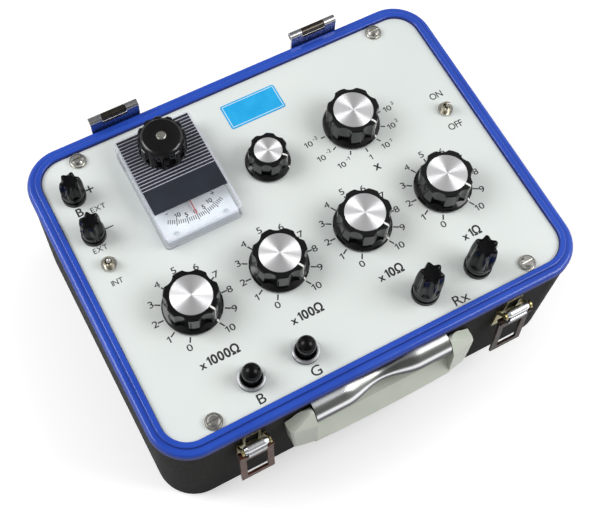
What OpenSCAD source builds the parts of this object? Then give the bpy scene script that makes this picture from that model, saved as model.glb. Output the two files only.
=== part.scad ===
// Portable resistance bridge in a steel case, lid taken off
// Origin at the centre of the base, +Z up, +X to the right, -Y to the front (handle and latches)

/* [Case] */
// Outside width of the case, left to right
case_w = 275.4; // [268:0.2:290]
// Outside depth of the case, front to back
case_d = 209; // [205:0.5:220]
// Height of the panel's face above the base
panel_h = 93; // [88:1:105]
// Radius of the case's upright corners
case_corner_r = 24; // [20:1:28]
// Thickness of the case's walls
wall = 1.5; // [1:0.1:2]
// Thickness of the case's floor
floor_t = 1.5; // [1:0.1:3]

/* [Rim] */
// Width of the rim, from the panel to its outer edge
rim_w = 8.6; // [8:0.1:10]
// Width of the raised ridge next to the panel
ridge_w = 3.6; // [3:0.1:4]
// Height of the ridge over the panel's face
ridge_h = 2.5; // [1.5:0.1:4]
// Radius of the ridge's two top edges
ridge_edge_r = 0.8; // [0.4:0.1:1.2]
// Height of the outer ledge over the panel's face
ledge_h = 0.8; // [0.2:0.1:1.2]
// Radius of the ledge's outer edge
ledge_edge_r = 2.6; // [1:0.1:3]
// Thickness of the lip that hangs over the case's wall
lip_t = 0.7; // [0.5:0.1:1]
// Drop of the lip below the panel's face
lip_drop = 4.6; // [4:0.1:6]
// Drop of the case's top edge below the panel's face
seat_drop = 3; // [2.6:0.1:3.6]
// Width of the ledge that carries the panel
support_w = 3; // [2:0.2:4]
// Thickness of the ledge that carries the panel
support_t = 2; // [1.5:0.1:3]
// Clearance between the rim and the case's wall
rim_gap = 0.1; // [0.05:0.01:0.2]

/* [Panel] */
// Thickness of the panel
panel_t = 2; // [1.5:0.1:2.4]
// Clearance round the panel's edge
panel_gap = 0.3; // [0.1:0.1:0.5]
// Distance of the corner screws from the opening's left and right edges
screw_inset_x = 26.9; // [24:0.1:30]
// Distance of the corner screws from the opening's front and back edges
screw_inset_y = 5.6; // [5.5:0.1:7]
// Radius of a screw's shank
screw_r = 2; // [1.5:0.1:2.5]
// Length of a screw's shank below the washer
screw_len = 7; // [5:0.5:10]
// Radius of a screw's head
screw_head_r = 3.8; // [3.5:0.1:4]
// Height of a screw's head
screw_head_h = 2.8; // [2.4:0.1:3.2]
// Width of a screw's slot
screw_slot_w = 0.9; // [0.6:0.1:1.2]
// Radius of a washer
washer_r = 5.2; // [4.8:0.1:5.3]
// Thickness of a washer
washer_t = 0.8; // [0.5:0.1:1.2]
// Radius of a washer's cup round the screw's head
washer_cup_r = 4.7; // [4.5:0.1:4.8]
// Height of a washer's cup over the panel
washer_cup_h = 2.6; // [2:0.1:3]

/* [Dials] */
// Distance between two neighbouring decade dials
dial_pitch = 56; // [54:0.5:58]
// Distance of the dials' common centre line from the case's middle
layout_x = 0.7; // [-2:0.1:2]
// Place of the row of decade dials, front to back
dial_row_y = -25; // [-30:0.5:-22]
// Place of the multiplier dial, left to right from the layout's middle
multiplier_x = 56; // [52:0.5:58]
// Place of the multiplier and sensitivity dials, front to back
upper_row_y = 38.2; // [36:0.2:42]
// Place of the sensitivity dial, left to right from the layout's middle
sensitivity_x = -2.2; // [-4:0.2:4]
// Radius of a large knob's skirt
skirt_r = 17.8; // [17:0.1:19]
// Radius of a large knob's grip
grip_r = 16; // [15.5:0.1:16.5]
// Height of a large knob over the panel
knob_h = 18.3; // [16:0.1:20]
// Radius of a large knob's metal disc
cap_r = 12.3; // [11.5:0.1:13]
// Flutes round a large knob
flute_count = 7; // [6:1:8]
// Radius of the small knob's skirt
small_skirt_r = 14; // [13.5:0.1:15]
// Radius of the small knob's grip
small_grip_r = 12; // [11.5:0.1:12.4]
// Height of the small knob over the panel
small_knob_h = 16; // [14:0.1:18]
// Radius of the small knob's metal disc
small_cap_r = 8.6; // [7.5:0.1:9]
// Flutes round the small knob
small_flute_count = 7; // [6:1:8]
// Gap between a knob's skirt and the panel
knob_gap = 0.5; // [0.3:0.1:1]
// Height of a knob's skirt
skirt_h = 3.2; // [2.5:0.1:4]
// Radius of a large knob's flute
flute_r = 7; // [5:0.1:8]
// Depth of a large knob's flute
flute_depth = 1.9; // [0.8:0.1:2]
// Thickness of a knob's metal disc
cap_t = 1.2; // [0.8:0.1:2]
// Radius of a knob's spindle
shaft_r = 3; // [2.5:0.1:3.2]
// Radius of a switch's threaded bush
bush_r = 4.75; // [4.4:0.05:5]
// Height of a switch's bush over the panel
bush_h = 6; // [5:0.5:7]
// Height of a bush's nut
nut_h = 2.5; // [2:0.1:3]
// Radius of a bush's nut, over its corners
nut_r = 7; // [6.5:0.1:7.5]
// Radius of the hollow under a knob
knob_hollow_r = 8.4; // [8:0.1:8.6]
// Radius of a rotary switch
switch_r = 17; // [15:0.5:19]
// Depth of a rotary switch under the panel
switch_depth = 30; // [25:1:36]
// Radius of the sensitivity potentiometer
pot_r = 12; // [10:0.5:14]
// Depth of the sensitivity potentiometer under the panel
pot_depth = 11; // [9:0.5:14]
// Running clearance round a spindle
shaft_gap = 0.05; // [0.02:0.01:0.1]

/* [Meter] */
// Width of the meter's cover
meter_w = 50.3; // [48:0.1:53]
// Length of the meter's cover, front to back
meter_d = 73; // [70:0.5:76]
// Height of the meter's cover over the panel
meter_h = 13.2; // [12.5:0.1:15]
// Radius of the cover's upright corners
meter_corner_r = 3; // [2:0.1:4]
// Thickness of the cover
cover_t = 1.6; // [1.2:0.1:2]
// Place of the meter's middle, left to right from the layout's middle
meter_x = -56.8; // [-58:0.1:-55]
// Place of the meter's middle, front to back
meter_y = 49.2; // [46:0.2:50]
// Width of the border round the mask
mask_border = 1.7; // [1.2:0.1:2.5]
// Length of the ribbed part of the mask
mask_rib_len = 38.2; // [36:0.2:40]
// Length of the plain part of the mask
mask_plain_len = 15.2; // [13:0.2:17]
// Thickness of the mask
mask_t = 1; // [0.8:0.1:1.2]
// Grooves across the mask
rib_count = 17; // [12:1:20]
// Width of one groove
rib_groove_w = 0.8; // [0.5:0.1:1]
// Depth of one groove
rib_groove_depth = 0.5; // [0.3:0.1:0.6]
// Height of the meter's housing over the panel
housing_h = 5; // [4:0.1:6]
// Clearance between the housing and the cover
housing_gap = 0.3; // [0.2:0.1:0.5]
// Radius of the magnet can under the panel
can_r = 20; // [18:0.5:22]
// Depth of the magnet can under the panel
can_depth = 28; // [24:1:34]
// Thickness of the scale plate
scale_t = 0.6; // [0.4:0.1:1]
// Length of the scale plate
scale_len = 34; // [30:1:38]
// Distance of the needle's pivot behind the cover's front edge
needle_pivot_y = 46.8; // [44:0.2:50]
// Length of the needle, pivot to tip
needle_len = 36; // [33:0.5:38]
// Width of the needle
needle_w = 0.7; // [0.5:0.1:1]
// Height of the needle over the scale plate
needle_lift = 1.4; // [1:0.1:2]
// Radius of the needle's hub
hub_r = 2.5; // [2:0.1:3]
// Height of the needle's hub
hub_h = 1.4; // [1:0.1:1.8]
// Radius of the needle's pivot
pivot_r = 0.8; // [0.6:0.1:1]

/* [Zero knob] */
// Distance of the zero knob behind the cover's front edge
zero_knob_y = 56; // [55:0.2:58]
// Radius of the zero knob
zero_knob_r = 14.6; // [13.6:0.1:15.2]
// Height of the zero knob
zero_knob_h = 14.2; // [12:0.1:16]
// Gap between the zero knob and the mask
zero_knob_gap = 0.5; // [0.3:0.1:1]
// Lobes round the zero knob
lobe_count = 12; // [10:1:14]
// Radius of the hollow between two lobes
lobe_hollow_r = 2.4; // [1.6:0.1:2.6]
// Radius of the zero spindle
spindle_r = 1.5; // [1.2:0.1:1.8]
// Radius of the zero spindle's slotted head
spindle_head_r = 2.9; // [2.5:0.1:3.5]

/* [Switches and buttons] */
// Distance of the toggles and battery posts from the opening's left and right edges
column_inset = 15.3; // [14:0.1:17]
// Place of the toggles, front to back
toggle_y = 20.6; // [18:0.2:22]
// Radius of a toggle's ring nut
ring_r = 4.7; // [4.3:0.1:5]
// Height of a toggle's ring nut
ring_h = 1.8; // [1.4:0.1:2.2]
// Radius of a toggle's bush
toggle_bush_r = 3; // [2.8:0.1:3.2]
// Height of a toggle's bush over the panel
toggle_bush_h = 5.5; // [5:0.1:6]
// Radius of a toggle's bore
toggle_bore_r = 2.1; // [2:0.1:2.3]
// Radius of a toggle lever's tip
lever_tip_r = 1.35; // [1.2:0.05:1.5]
// Length of a toggle lever over its pivot
lever_len = 8.5; // [7:0.5:11]
// Tilt of a toggle lever to either side
lever_tilt = 12; // [8:1:13]
// Distance of the buttons' row from the opening's front edge
button_inset = 17.9; // [16:0.1:20]
// Place of the left button, left to right from the layout's middle
button_b_x = -74.1; // [-78:0.1:-72]
// Place of the right button, left to right from the layout's middle
button_g_x = -39.7; // [-44:0.1:-38]
// Radius of a button's collar
collar_r = 8; // [7.6:0.1:8.5]
// Height of a button's collar
collar_h = 3.4; // [2.5:0.1:4]
// Radius of a button's bore
button_bore_r = 5.8; // [5.8:0.1:6.1]
// Radius of a button's threaded barrel
barrel_r = 7; // [6.8:0.1:7.2]
// Height left for a button's spring when the button is right down
spring_room = 7.5; // [5:0.5:10]
// Radius of a button's cap
button_r = 5.6; // [5.2:0.1:5.6]
// Radius of the neck under a button's ball
button_neck_r = 4.9; // [4.5:0.1:5.1]
// Height of a button's cap over the panel
button_h = 17; // [15:0.5:19]
// Radius of a button's stem
stem_r = 2; // [1.5:0.1:2.5]
// Travel of a button
button_travel = 3; // [2:0.5:3.5]

/* [Binding posts] */
// Place of the rear battery post, front to back
post_plus_y = 70.2; // [68:0.2:72]
// Distance between the two battery posts
post_pitch = 28.5; // [26:0.5:30]
// Distance of the test posts' row from the opening's front edge
rx_inset = 17.4; // [17:0.1:20]
// Place of the left test post, left to right from the layout's middle
rx_left_x = 39; // [36:0.5:42]
// Place of the right test post, left to right from the layout's middle
rx_right_x = 75; // [72:0.5:78]
// Radius of a battery post's collar
post_r = 7.3; // [6.8:0.1:7.8]
// Height of a battery post
post_h = 20; // [18:0.5:23]
// Radius of a test post's collar
rx_post_r = 8.4; // [8:0.1:9]
// Height of a test post
rx_post_h = 29; // [26:0.5:31]
// Height of a post's collar
post_collar_h = 4; // [3:0.1:5]
// Gap between a post's cap and its collar
post_cap_gap = 0.3; // [0.2:0.1:0.5]
// Radius of a post's stud
stud_r = 2.2; // [2:0.1:2.5]
// Running clearance round a stud
stud_gap = 0.08; // [0.03:0.01:0.1]
// Flutes round a post's cap
post_flutes = 6; // [5:1:7]
// Radius of a post's flute
post_flute_r = 4; // [3.4:0.1:4.4]
// Depth of a post's flute
post_flute_depth = 1.2; // [0.8:0.1:1.5]

/* [Hinges] */
// Distance between the middles of the two hinges
hinge_pitch = 138; // [130:1:150]
// Width of a hinge
hinge_w = 32; // [28:1:36]
// Length of one knuckle
knuckle_w = 8; // [6:0.5:10]
// Radius of a knuckle
knuckle_r = 2.6; // [2.3:0.1:2.8]
// Radius of a hinge pin
hinge_pin_r = 1.9; // [1.2:0.1:2]
// Thickness of a hinge leaf
leaf_t = 1.2; // [1:0.1:1.6]
// Height of the hinge's axis over the panel's face
hinge_axis_h = 8; // [6:0.5:10]
// Drop of a leaf below the panel's face
leaf_drop = 30; // [24:1:40]

/* [Latches] */
// Distance between the middles of the two latches
latch_pitch = 174; // [168:1:180]
// Width of a latch's base plate
latch_w = 16; // [15:0.5:18]
// Height of a latch's base plate
latch_plate_h = 34; // [30:1:40]
// Thickness of a latch's sheet metal
latch_t = 1.2; // [1:0.1:1.5]
// Distance of the lever's axis from the case's wall
latch_out = 6; // [5.5:0.1:7]
// Drop of the lever's axis below the panel's face
latch_drop = 13; // [12:0.5:15]
// Radius of a lever's rolled edge
roll_r = 2.5; // [2.2:0.1:2.8]
// Radius of a lever's pivot pin
latch_pin_r = 1.2; // [1:0.1:1.4]
// Distance between the lever's axis and the loop's axis
loop_offset = 8; // [7.5:0.1:9]
// Length of a lever below its axis
latch_lever_len = 10.5; // [10.4:0.1:12]
// Outside width of a loop
loop_w = 21.6; // [21:0.2:24]
// Width of a loop's legs
loop_leg_w = 4; // [3.5:0.1:4.2]
// Length of a loop below its axis
loop_len = 41; // [36:1:44]
// Thickness of a loop
loop_t = 1.6; // [1.3:0.1:2]
// Outward lean of a hanging loop
loop_lean = 5; // [2:0.5:6]

/* [Handle] */
// Place of the handle's middle, left to right
handle_x = -4.9; // [-8:0.1:2]
// Length of the handle's grip
grip_len = 122.6; // [118:0.2:130]
// Length of the strap between the grip's arms
strap_len = 89.2; // [86:0.2:92]
// Outer radius of the strap at its ends
strap_end_r = 9.7; // [9.2:0.1:10.5]
// Outer radius of the strap at its waist
strap_waist_r = 4.8; // [4:0.1:6]
// Thickness of the strap
strap_t = 1.2; // [1:0.1:1.5]
// Length of a straight end of the strap
strap_end_len = 20; // [16:0.5:24]
// Drop of the strap's lower edge below the panel's face
strap_drop = 17; // [16:0.5:20]
// Drop of the grip's axis below the panel's face
handle_drop = 13.5; // [12.5:0.1:14.5]
// Distance of the grip's axis from the case's wall
handle_out = 5; // [4.9:0.1:5.2]
// Radius of the handle's pins
handle_pin_r = 2; // [1.6:0.1:2.2]
// Radius of an arm's round end
arm_end_r = 4.4; // [4:0.1:4.5]
// Distance of the grip bar's top below the panel's face
bar_top_drop = 31; // [30:0.5:33]
// Distance of the grip's lower edge below the panel's face
bar_low_drop = 45; // [43:0.5:48]
// Depth of the grip at its middle, out from the case's wall
bar_out = 14.6; // [14:0.1:16]
// Depth of the bar's flat top, out from the case's wall
bar_top_out = 7; // [6:0.1:8]
// Sag of the grip's bowed front between its arms
bar_bow = 1.3; // [0.8:0.1:2]
// Depth of an arm's shoulder edge, out from the case's wall
shoulder_out = 11.7; // [11:0.1:12.4]
// Drop of an arm's shoulder edge below the panel's face
shoulder_drop = 17; // [16:0.1:18]
// Turn of an arm's front towards the case's wall
arm_turn = 10; // [6:0.5:12]
// Gap between the grip's back and the case's wall
grip_back_gap = 0.9; // [0.6:0.1:1.2]
// Gap between the strap's ends and the grip's arms
arm_gap = 0.6; // [0.4:0.1:1]

/* [Inside] */
// Radius of a dry cell
cell_r = 13; // [12:0.1:14]
// Length of a dry cell
cell_len = 50; // [48:0.5:52]
// Number of dry cells
cell_count = 3; // [2:1:4]
// Thickness of the battery tray
tray_t = 1.5; // [1:0.1:2]
// Width of the resistor board
board_w = 110; // [90:1:120]
// Depth of the resistor board
board_d = 60; // [50:1:70]
// Thickness of the resistor board
board_t = 1.6; // [1.2:0.1:2]
// Height of the resistor board's legs
board_leg_h = 12; // [8:1:16]
// Radius of a wire bobbin
bobbin_r = 6; // [5:0.5:7]
// Height of a wire bobbin
bobbin_h = 14; // [10:1:18]

/* [Hidden] */
$fn = 96;
// Sheet thickness to overlap shapes that are cut or joined
eps = 0.01;
small = 0.05;

// Case and rim
rim_out_w = case_w + 2 * (rim_gap + lip_t);
rim_out_d = case_d + 2 * (rim_gap + lip_t);
open_w = rim_out_w - 2 * rim_w;
open_d = rim_out_d - 2 * rim_w;
open_r = case_corner_r + rim_gap + lip_t - rim_w;
groove_w = rim_w - lip_t - wall - 2 * rim_gap;
front_y = -case_d / 2;
back_y = case_d / 2;
arc_steps = 8;

// Panel fixings
screw_x = open_w / 2 - screw_inset_x;
screw_y = open_d / 2 - screw_inset_y;
screw_clearance = 0.2;
screw_hole_r = screw_r + screw_clearance;
screw_head_side = 0.6 * screw_head_h;
screw_head_top_r = 0.7 * screw_head_r;
washer_cup_gap = 0.1;
washer_cup_slope = 0.3;
tab_w = 14;
tab_in = 6.5;

// Dials: place of the four decades, the multiplier and the sensitivity control
decade_xy = [for (i = [0 : 3]) [layout_x + (i - 1.5) * dial_pitch, dial_row_y]];
multiplier_xy = [layout_x + multiplier_x, upper_row_y];
sensitivity_xy = [layout_x + sensitivity_x, upper_row_y];
dial_xy = concat(decade_xy, [multiplier_xy, sensitivity_xy]);
pointer_deg = -60;
small_pointer_deg = -45;
shaft_top_gap = 1.6;
skirt_bevel = 0.6;
skirt_edge = 0.8;
grip_bevel = 0.6;
disc_bevel = 0.3;
knob_hollow_h = bush_h + 1;
switch_plate_t = 2;
wafer_t = 1.6;
wafer_hole_r = shaft_r + 0.4;
pillar_r = 1.8;
pillar_inset = 3;
rotor_r = 2 * shaft_r;
rotor_level = 0.75;

// Meter
meter_xy = [layout_x + meter_x, meter_y];
meter_front_y = meter_y - meter_d / 2;
meter_back_y = meter_y + meter_d / 2;
mask_len = mask_rib_len + mask_plain_len;
mask_w = meter_w - 2 * mask_border;
mask_back_y = meter_back_y - mask_border;
needle_xy = [meter_xy[0], meter_front_y + needle_pivot_y];
needle_z = panel_h + housing_h + scale_t + needle_lift;
zero_xy = [meter_xy[0], meter_front_y + zero_knob_y];
zero_z = panel_h + meter_h + mask_t + zero_knob_gap;
spindle_low_z = needle_z + hub_h + 0.5;
inner_corner_r = meter_corner_r - cover_t + 0.2;
scale_gap = cover_t + housing_gap + 0.2;
hub_gap = 0.3;
mask_hole_r = spindle_r + 0.3;
zero_foot_h = 1.6;
zero_foot_inset = 0.1;
zero_shoulder = [[0, 4], [1.2, 2.2], [3, 0.9], [3.6, 0.6]];
lobe_reach = 0.3 * lobe_hollow_r;
spindle_seat = 0.6;
spindle_head_h = 1.3;
spindle_bevel = 0.5;
spindle_slot_w = 0.8;

// Toggles, buttons and posts
column_x = open_w / 2 - column_inset;
toggle_xy = [[-column_x, toggle_y], [column_x, toggle_y]];
toggle_body = [8, 13, 10];
toggle_pivot_h = 2.6;
lever_ball_gap = 0.35;
lever_neck = 0.7;
collar_bevel = 0.8;
stem_past = 1;
button_row_y = -open_d / 2 + button_inset;
button_xy = [[layout_x + button_b_x, button_row_y], [layout_x + button_g_x, button_row_y]];
barrel_floor_t = 1.5;
barrel_nut_w = 2;
spring_gap = 0.8;
button_skirt_drop = 4;
button_guide_h = 3;
barrel_depth = button_skirt_drop + button_travel + spring_room + barrel_floor_t;
rx_row_y = -open_d / 2 + rx_inset;
post_xy = [
    [-column_x, post_plus_y],
    [-column_x, post_plus_y - post_pitch],
    [layout_x + rx_left_x, rx_row_y],
    [layout_x + rx_right_x, rx_row_y]
];
post_radius = [post_r, post_r, rx_post_r, rx_post_r];
post_height = [post_h, post_h, rx_post_h, rx_post_h];
post_top_ratio = 0.7;
post_waist_ratio = 0.45;
post_flute_overlap = 2;
post_cap_inset = 0.2;
post_top_bevel = 0.6;
post_flute_start = 3;
stud_drop = 12;
stud_top_cover = 4;
post_nut_r = 4.2;
post_nut_h = 3;

// Hinges
hinge_mid_x = -2.2;
hinge_x = [hinge_mid_x - hinge_pitch / 2, hinge_mid_x + hinge_pitch / 2];
leaf_front_y = rim_out_d / 2 + rim_gap;
hinge_y = leaf_front_y + knuckle_r;
hinge_z = panel_h + hinge_axis_h;
leaf_gap = 0.3;
leaf_pad_top = panel_h - lip_drop - leaf_gap;
knuckle_gap = 0.2;

// Latches
latch_x = [-latch_pitch / 2, latch_pitch / 2];
latch_y = front_y - latch_out;
latch_z = panel_h - latch_drop;
latch_ear_r = 2.4;
latch_foot_top = latch_z - 5.9;
latch_frame_w = 0.69 * latch_w;
latch_frame_side = 1.4;
latch_window_low = latch_foot_top - 4;
latch_tail_h = 2.4;
roll_end_w = 2.2;
roll_end_ratio = 0.72;
lever_ridge_r = 1;
lever_ridge_drop = 4.4;
latch_plate_top = panel_h - lip_drop - 1;
loop_z = latch_z - loop_offset;
loop_in_w = loop_w - 2 * loop_leg_w;
latch_fit = 0.06;
roll_gap = 0.5;
lever_side_gap = 1;
boss_h = 4.4;
boss_back = 1.6;
loop_eye_r = 2.2;
loop_foot = 1.2 * loop_leg_w;
loop_bar_drop = 9.2;
loop_bar_h = 4.2;

// Handle
strap_axis_z = panel_h - strap_drop;
handle_y = front_y - handle_out;
handle_z = panel_h - handle_drop;
arm_in_x = strap_len / 2 + arm_gap;
arm_pin_len = 4.6;
web_t = 6;
grip_back_y = front_y - grip_back_gap;
grip_front_y = front_y - bar_out;
arm_front_y = grip_front_y + bar_bow;
shoulder_y = front_y - shoulder_out;
shoulder_z = panel_h - shoulder_drop;
grip_tip_drop = 18;
grip_tip_z = panel_h - grip_tip_drop;
grip_bar_top_z = panel_h - bar_top_drop;
grip_low_z = panel_h - bar_low_drop;
grip_edge_h = 2;
grip_edge_out = 1.5;
grip_edge_z = grip_low_z + grip_edge_h;
arm_flat_w = 1;
arm_top_out = 1;
arm_face_back = 20;
end_round_r = 6.5;
end_tip_out = 5;
bar_overlap = 1;
grip_foot_in = 2.6;
pin_end_gap = 0.2;

// Things on the floor of the case
tray_xy = [-60, 10];
board_xy = [58, 20];
cell_pitch = 2 * cell_r + 1;
cell_gap = 0.1;
cell_z = floor_t + tray_t + cell_r + cell_gap;
tray_in = [cell_len + 2, cell_count * cell_pitch + 1];
board_leg_r = 3;
board_leg_inset = 6;

// Helper shapes

module rounded_rect(w, d, r) {
    square([w - 2 * r, d], center = true);
    square([w, d - 2 * r], center = true);
    for (sx = [-1, 1], sy = [-1, 1]) {
        translate([sx * (w / 2 - r), sy * (d / 2 - r)]) circle(r);
    }
}

module rounded_block(w, d, r, h) {
    linear_extrude(h) rounded_rect(w, d, r);
}

// Sweeps a profile (outward, up) round a rectangle with round corners
module frame_sweep(w, d, r) {
    for (k = [0 : 3]) {
        run = k % 2 == 0 ? d - 2 * r : w - 2 * r;
        out = k % 2 == 0 ? w / 2 : d / 2;
        side = k % 2 == 0 ? d / 2 - r : w / 2 - r;
        rotate([0, 0, 90 * k]) {
            translate([out, run / 2, 0]) rotate([90, 0, 0]) linear_extrude(run) children();
            translate([out - r, side, 0]) rotate_extrude(angle = 90) translate([r, 0]) children();
        }
    }
}

// Points of a quarter round of radius r about a centre, from angle a to angle a + 90
function quarter(cx, cy, r, a) = [
    for (i = [0 : arc_steps]) [cx + r * cos(a + 90 * i / arc_steps), cy + r * sin(a + 90 * i / arc_steps)]
];

// Plain ring standing on the plane
module tube(r_out, r_in, h) {
    difference() {
        cylinder(r = r_out, h = h);
        translate([0, 0, -eps]) cylinder(r = r_in, h = h + 2 * eps);
    }
}

// Cylinder along X, centred
module rod_x(r, len) {
    rotate([0, 90, 0]) cylinder(r = r, h = len, center = true);
}

// Case

module case_shell() {
    h = panel_h - seat_drop;
    color("dimgray") difference() {
        rounded_block(case_w, case_d, case_corner_r, h);
        translate([0, 0, floor_t])
            rounded_block(case_w - 2 * wall, case_d - 2 * wall, case_corner_r - wall, h);
    }
}

module rim_profile() {
    under = -panel_t - support_t;
    polygon(concat(
        [[-support_w, under], [groove_w, under], [groove_w, -seat_drop], [rim_w - lip_t, -seat_drop]],
        [[rim_w - lip_t, -lip_drop], [rim_w, -lip_drop]],
        quarter(rim_w - ledge_edge_r, ledge_h - ledge_edge_r, ledge_edge_r, 0),
        [[ridge_w, ledge_h]],
        quarter(ridge_w - ridge_edge_r, ridge_h - ridge_edge_r, ridge_edge_r, 0),
        quarter(ridge_edge_r, ridge_h - ridge_edge_r, ridge_edge_r, 90),
        [[0, -panel_t], [-support_w, -panel_t]]
    ));
}

module rim() {
    tab_d = open_d / 2 - screw_y + tab_in;
    tab_z = -panel_t - support_t;
    color("royalblue") translate([0, 0, panel_h]) {
        frame_sweep(open_w, open_d, open_r) rim_profile();
        for (sx = [-1, 1], sy = [-1, 1]) {
            difference() {
                translate([sx * screw_x - tab_w / 2, sy > 0 ? screw_y - tab_in : -open_d / 2, tab_z])
                    cube([tab_w, tab_d, support_t]);
                translate([sx * screw_x, sy * screw_y, tab_z - eps])
                    cylinder(r = screw_r + small, h = support_t + 2 * eps);
            }
        }
    }
}

module front_panel() {
    cut = panel_t + 2 * eps;
    color("gainsboro") translate([0, 0, panel_h - panel_t]) difference() {
        rounded_block(open_w - 2 * panel_gap, open_d - 2 * panel_gap, open_r - panel_gap, panel_t);
        translate([0, 0, -eps]) {
            for (p = dial_xy) translate(p) cylinder(r = bush_r + small, h = cut);
            for (p = toggle_xy) translate(p) cylinder(r = toggle_bush_r + small, h = cut);
            for (p = button_xy) translate(p) cylinder(r = barrel_r + small, h = cut);
            for (p = post_xy) translate(p) cylinder(r = stud_r + small, h = cut);
            for (sx = [-1, 1], sy = [-1, 1]) {
                translate([sx * screw_x, sy * screw_y]) cylinder(r = screw_hole_r, h = cut);
            }
            translate(meter_xy) cylinder(r = can_r + panel_gap, h = cut);
        }
    }
}

module panel_screws() {
    color("silver") for (sx = [-1, 1], sy = [-1, 1]) translate([sx * screw_x, sy * screw_y, panel_h]) {
        difference() {
            union() {
                cylinder(r = washer_r, h = washer_t);
                cylinder(r1 = washer_cup_r, r2 = washer_cup_r - washer_cup_slope, h = washer_cup_h);
            }
            translate([0, 0, -eps]) cylinder(r = screw_hole_r, h = washer_t + 2 * eps);
            translate([0, 0, washer_t]) cylinder(r = screw_head_r + washer_cup_gap, h = washer_cup_h);
        }
        translate([0, 0, washer_t + small]) difference() {
            union() {
                cylinder(r = screw_head_r, h = screw_head_side);
                translate([0, 0, screw_head_side])
                    cylinder(r1 = screw_head_r, r2 = screw_head_top_r, h = screw_head_h - screw_head_side);
                translate([0, 0, -screw_len]) cylinder(r = screw_r, h = screw_len + eps);
            }
            translate([-screw_head_r, -screw_slot_w / 2, screw_head_h / 2])
                cube([2 * screw_head_r, screw_slot_w, screw_head_h]);
        }
    }
}

// Dials

// Knob standing on the panel: skirt, fluted grip, seat for the disc, hollow for the nut, spindle's bore
module knob_shape(base_r, top_r, h, disc_r, flutes) {
    cut_r = flute_r * top_r / grip_r;
    cut = flute_depth * top_r / grip_r;
    difference() {
        union() {
            rotate_extrude() polygon([
                [0, knob_gap], [base_r - skirt_bevel, knob_gap], [base_r, knob_gap + skirt_bevel],
                [base_r, skirt_h - skirt_edge], [base_r - skirt_edge, skirt_h],
                [top_r - cut, skirt_h + skirt_edge], [0, skirt_h + skirt_edge]
            ]);
            difference() {
                rotate_extrude() polygon([
                    [0, skirt_h], [top_r, skirt_h], [top_r, h - grip_bevel],
                    [top_r - grip_bevel, h - small], [0, h - small]
                ]);
                for (i = [0 : flutes - 1]) {
                    rotate([0, 0, 360 * (i + 0.5) / flutes])
                        translate([top_r - cut + cut_r, 0, skirt_h - eps]) cylinder(r = cut_r, h = h);
                }
            }
        }
        translate([0, 0, h - cap_t]) cylinder(r = disc_r + small, h = 2 * cap_t);
        translate([0, 0, -eps]) cylinder(r = knob_hollow_r, h = knob_hollow_h + eps);
        cylinder(r = shaft_r + small / 2, h = h - cap_t - shaft_top_gap);
    }
}

module decade_knob(i) {
    color("black") translate([decade_xy[i][0], decade_xy[i][1], panel_h]) rotate([0, 0, pointer_deg])
        knob_shape(skirt_r, grip_r, knob_h, cap_r, flute_count);
}

module knob_multiplier() {
    color("black") translate([multiplier_xy[0], multiplier_xy[1], panel_h]) rotate([0, 0, pointer_deg])
        knob_shape(skirt_r, grip_r, knob_h, cap_r, flute_count);
}

module knob_sensitivity() {
    color("black") translate([sensitivity_xy[0], sensitivity_xy[1], panel_h])
        rotate([0, 0, small_pointer_deg])
            knob_shape(small_skirt_r, small_grip_r, small_knob_h, small_cap_r, small_flute_count);
}

module disc_shape(r) {
    cylinder(r = r, h = cap_t - disc_bevel);
    translate([0, 0, cap_t - disc_bevel]) cylinder(r1 = r, r2 = r - disc_bevel, h = disc_bevel);
}

module knob_disc(xy, h, r) {
    color("silver") translate([xy[0], xy[1], panel_h + h - cap_t]) disc_shape(r);
}

// Spindle with the rotor hub that turns between the switch's wafers
module shaft_shape(xy, h, depth, hub) {
    top = h - cap_t - shaft_top_gap - small;
    color("lightgray") translate([xy[0], xy[1], panel_h]) {
        translate([0, 0, -depth + small]) cylinder(r = shaft_r, h = depth - small + top);
        if (hub) {
            translate([0, 0, -depth * rotor_level]) cylinder(r = rotor_r, h = wafer_t);
        }
    }
}

// Threaded bush on top of a switch or potentiometer
module bush_shape() {
    translate([0, 0, -panel_t - eps]) cylinder(r = bush_r, h = panel_t + bush_h + eps);
}

// Rotary switch hung under the panel: front plate, two wafers, two pillars
module switch_shape(xy) {
    low = -switch_depth;
    top = -panel_t;
    pillar_x = switch_r - pillar_inset;
    translate([xy[0], xy[1], panel_h]) difference() {
        union() {
            bush_shape();
            translate([0, 0, top - switch_plate_t]) cylinder(r = switch_r, h = switch_plate_t);
            for (z = [low, (low + top) / 2]) translate([0, 0, z]) cylinder(r = switch_r, h = wafer_t);
            for (sx = [-1, 1]) translate([sx * pillar_x, 0, low])
                cylinder(r = pillar_r, h = top - low - eps);
        }
        translate([0, 0, top - switch_plate_t - eps])
            cylinder(r = shaft_r + shaft_gap, h = switch_plate_t + panel_t + 2 * bush_h);
        translate([0, 0, low - eps]) cylinder(r = wafer_hole_r, h = top - low - switch_plate_t);
    }
}

module decade_switches() {
    color("peru") for (p = decade_xy) switch_shape(p);
}

module multiplier_switch() {
    color("peru") switch_shape(multiplier_xy);
}

module sensitivity_pot() {
    color("slategray") translate([sensitivity_xy[0], sensitivity_xy[1], panel_h]) difference() {
        union() {
            bush_shape();
            translate([0, 0, -pot_depth]) cylinder(r = pot_r, h = pot_depth - panel_t);
        }
        translate([0, 0, -pot_depth - eps]) cylinder(r = shaft_r + shaft_gap, h = pot_depth + 2 * bush_h);
    }
}

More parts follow.
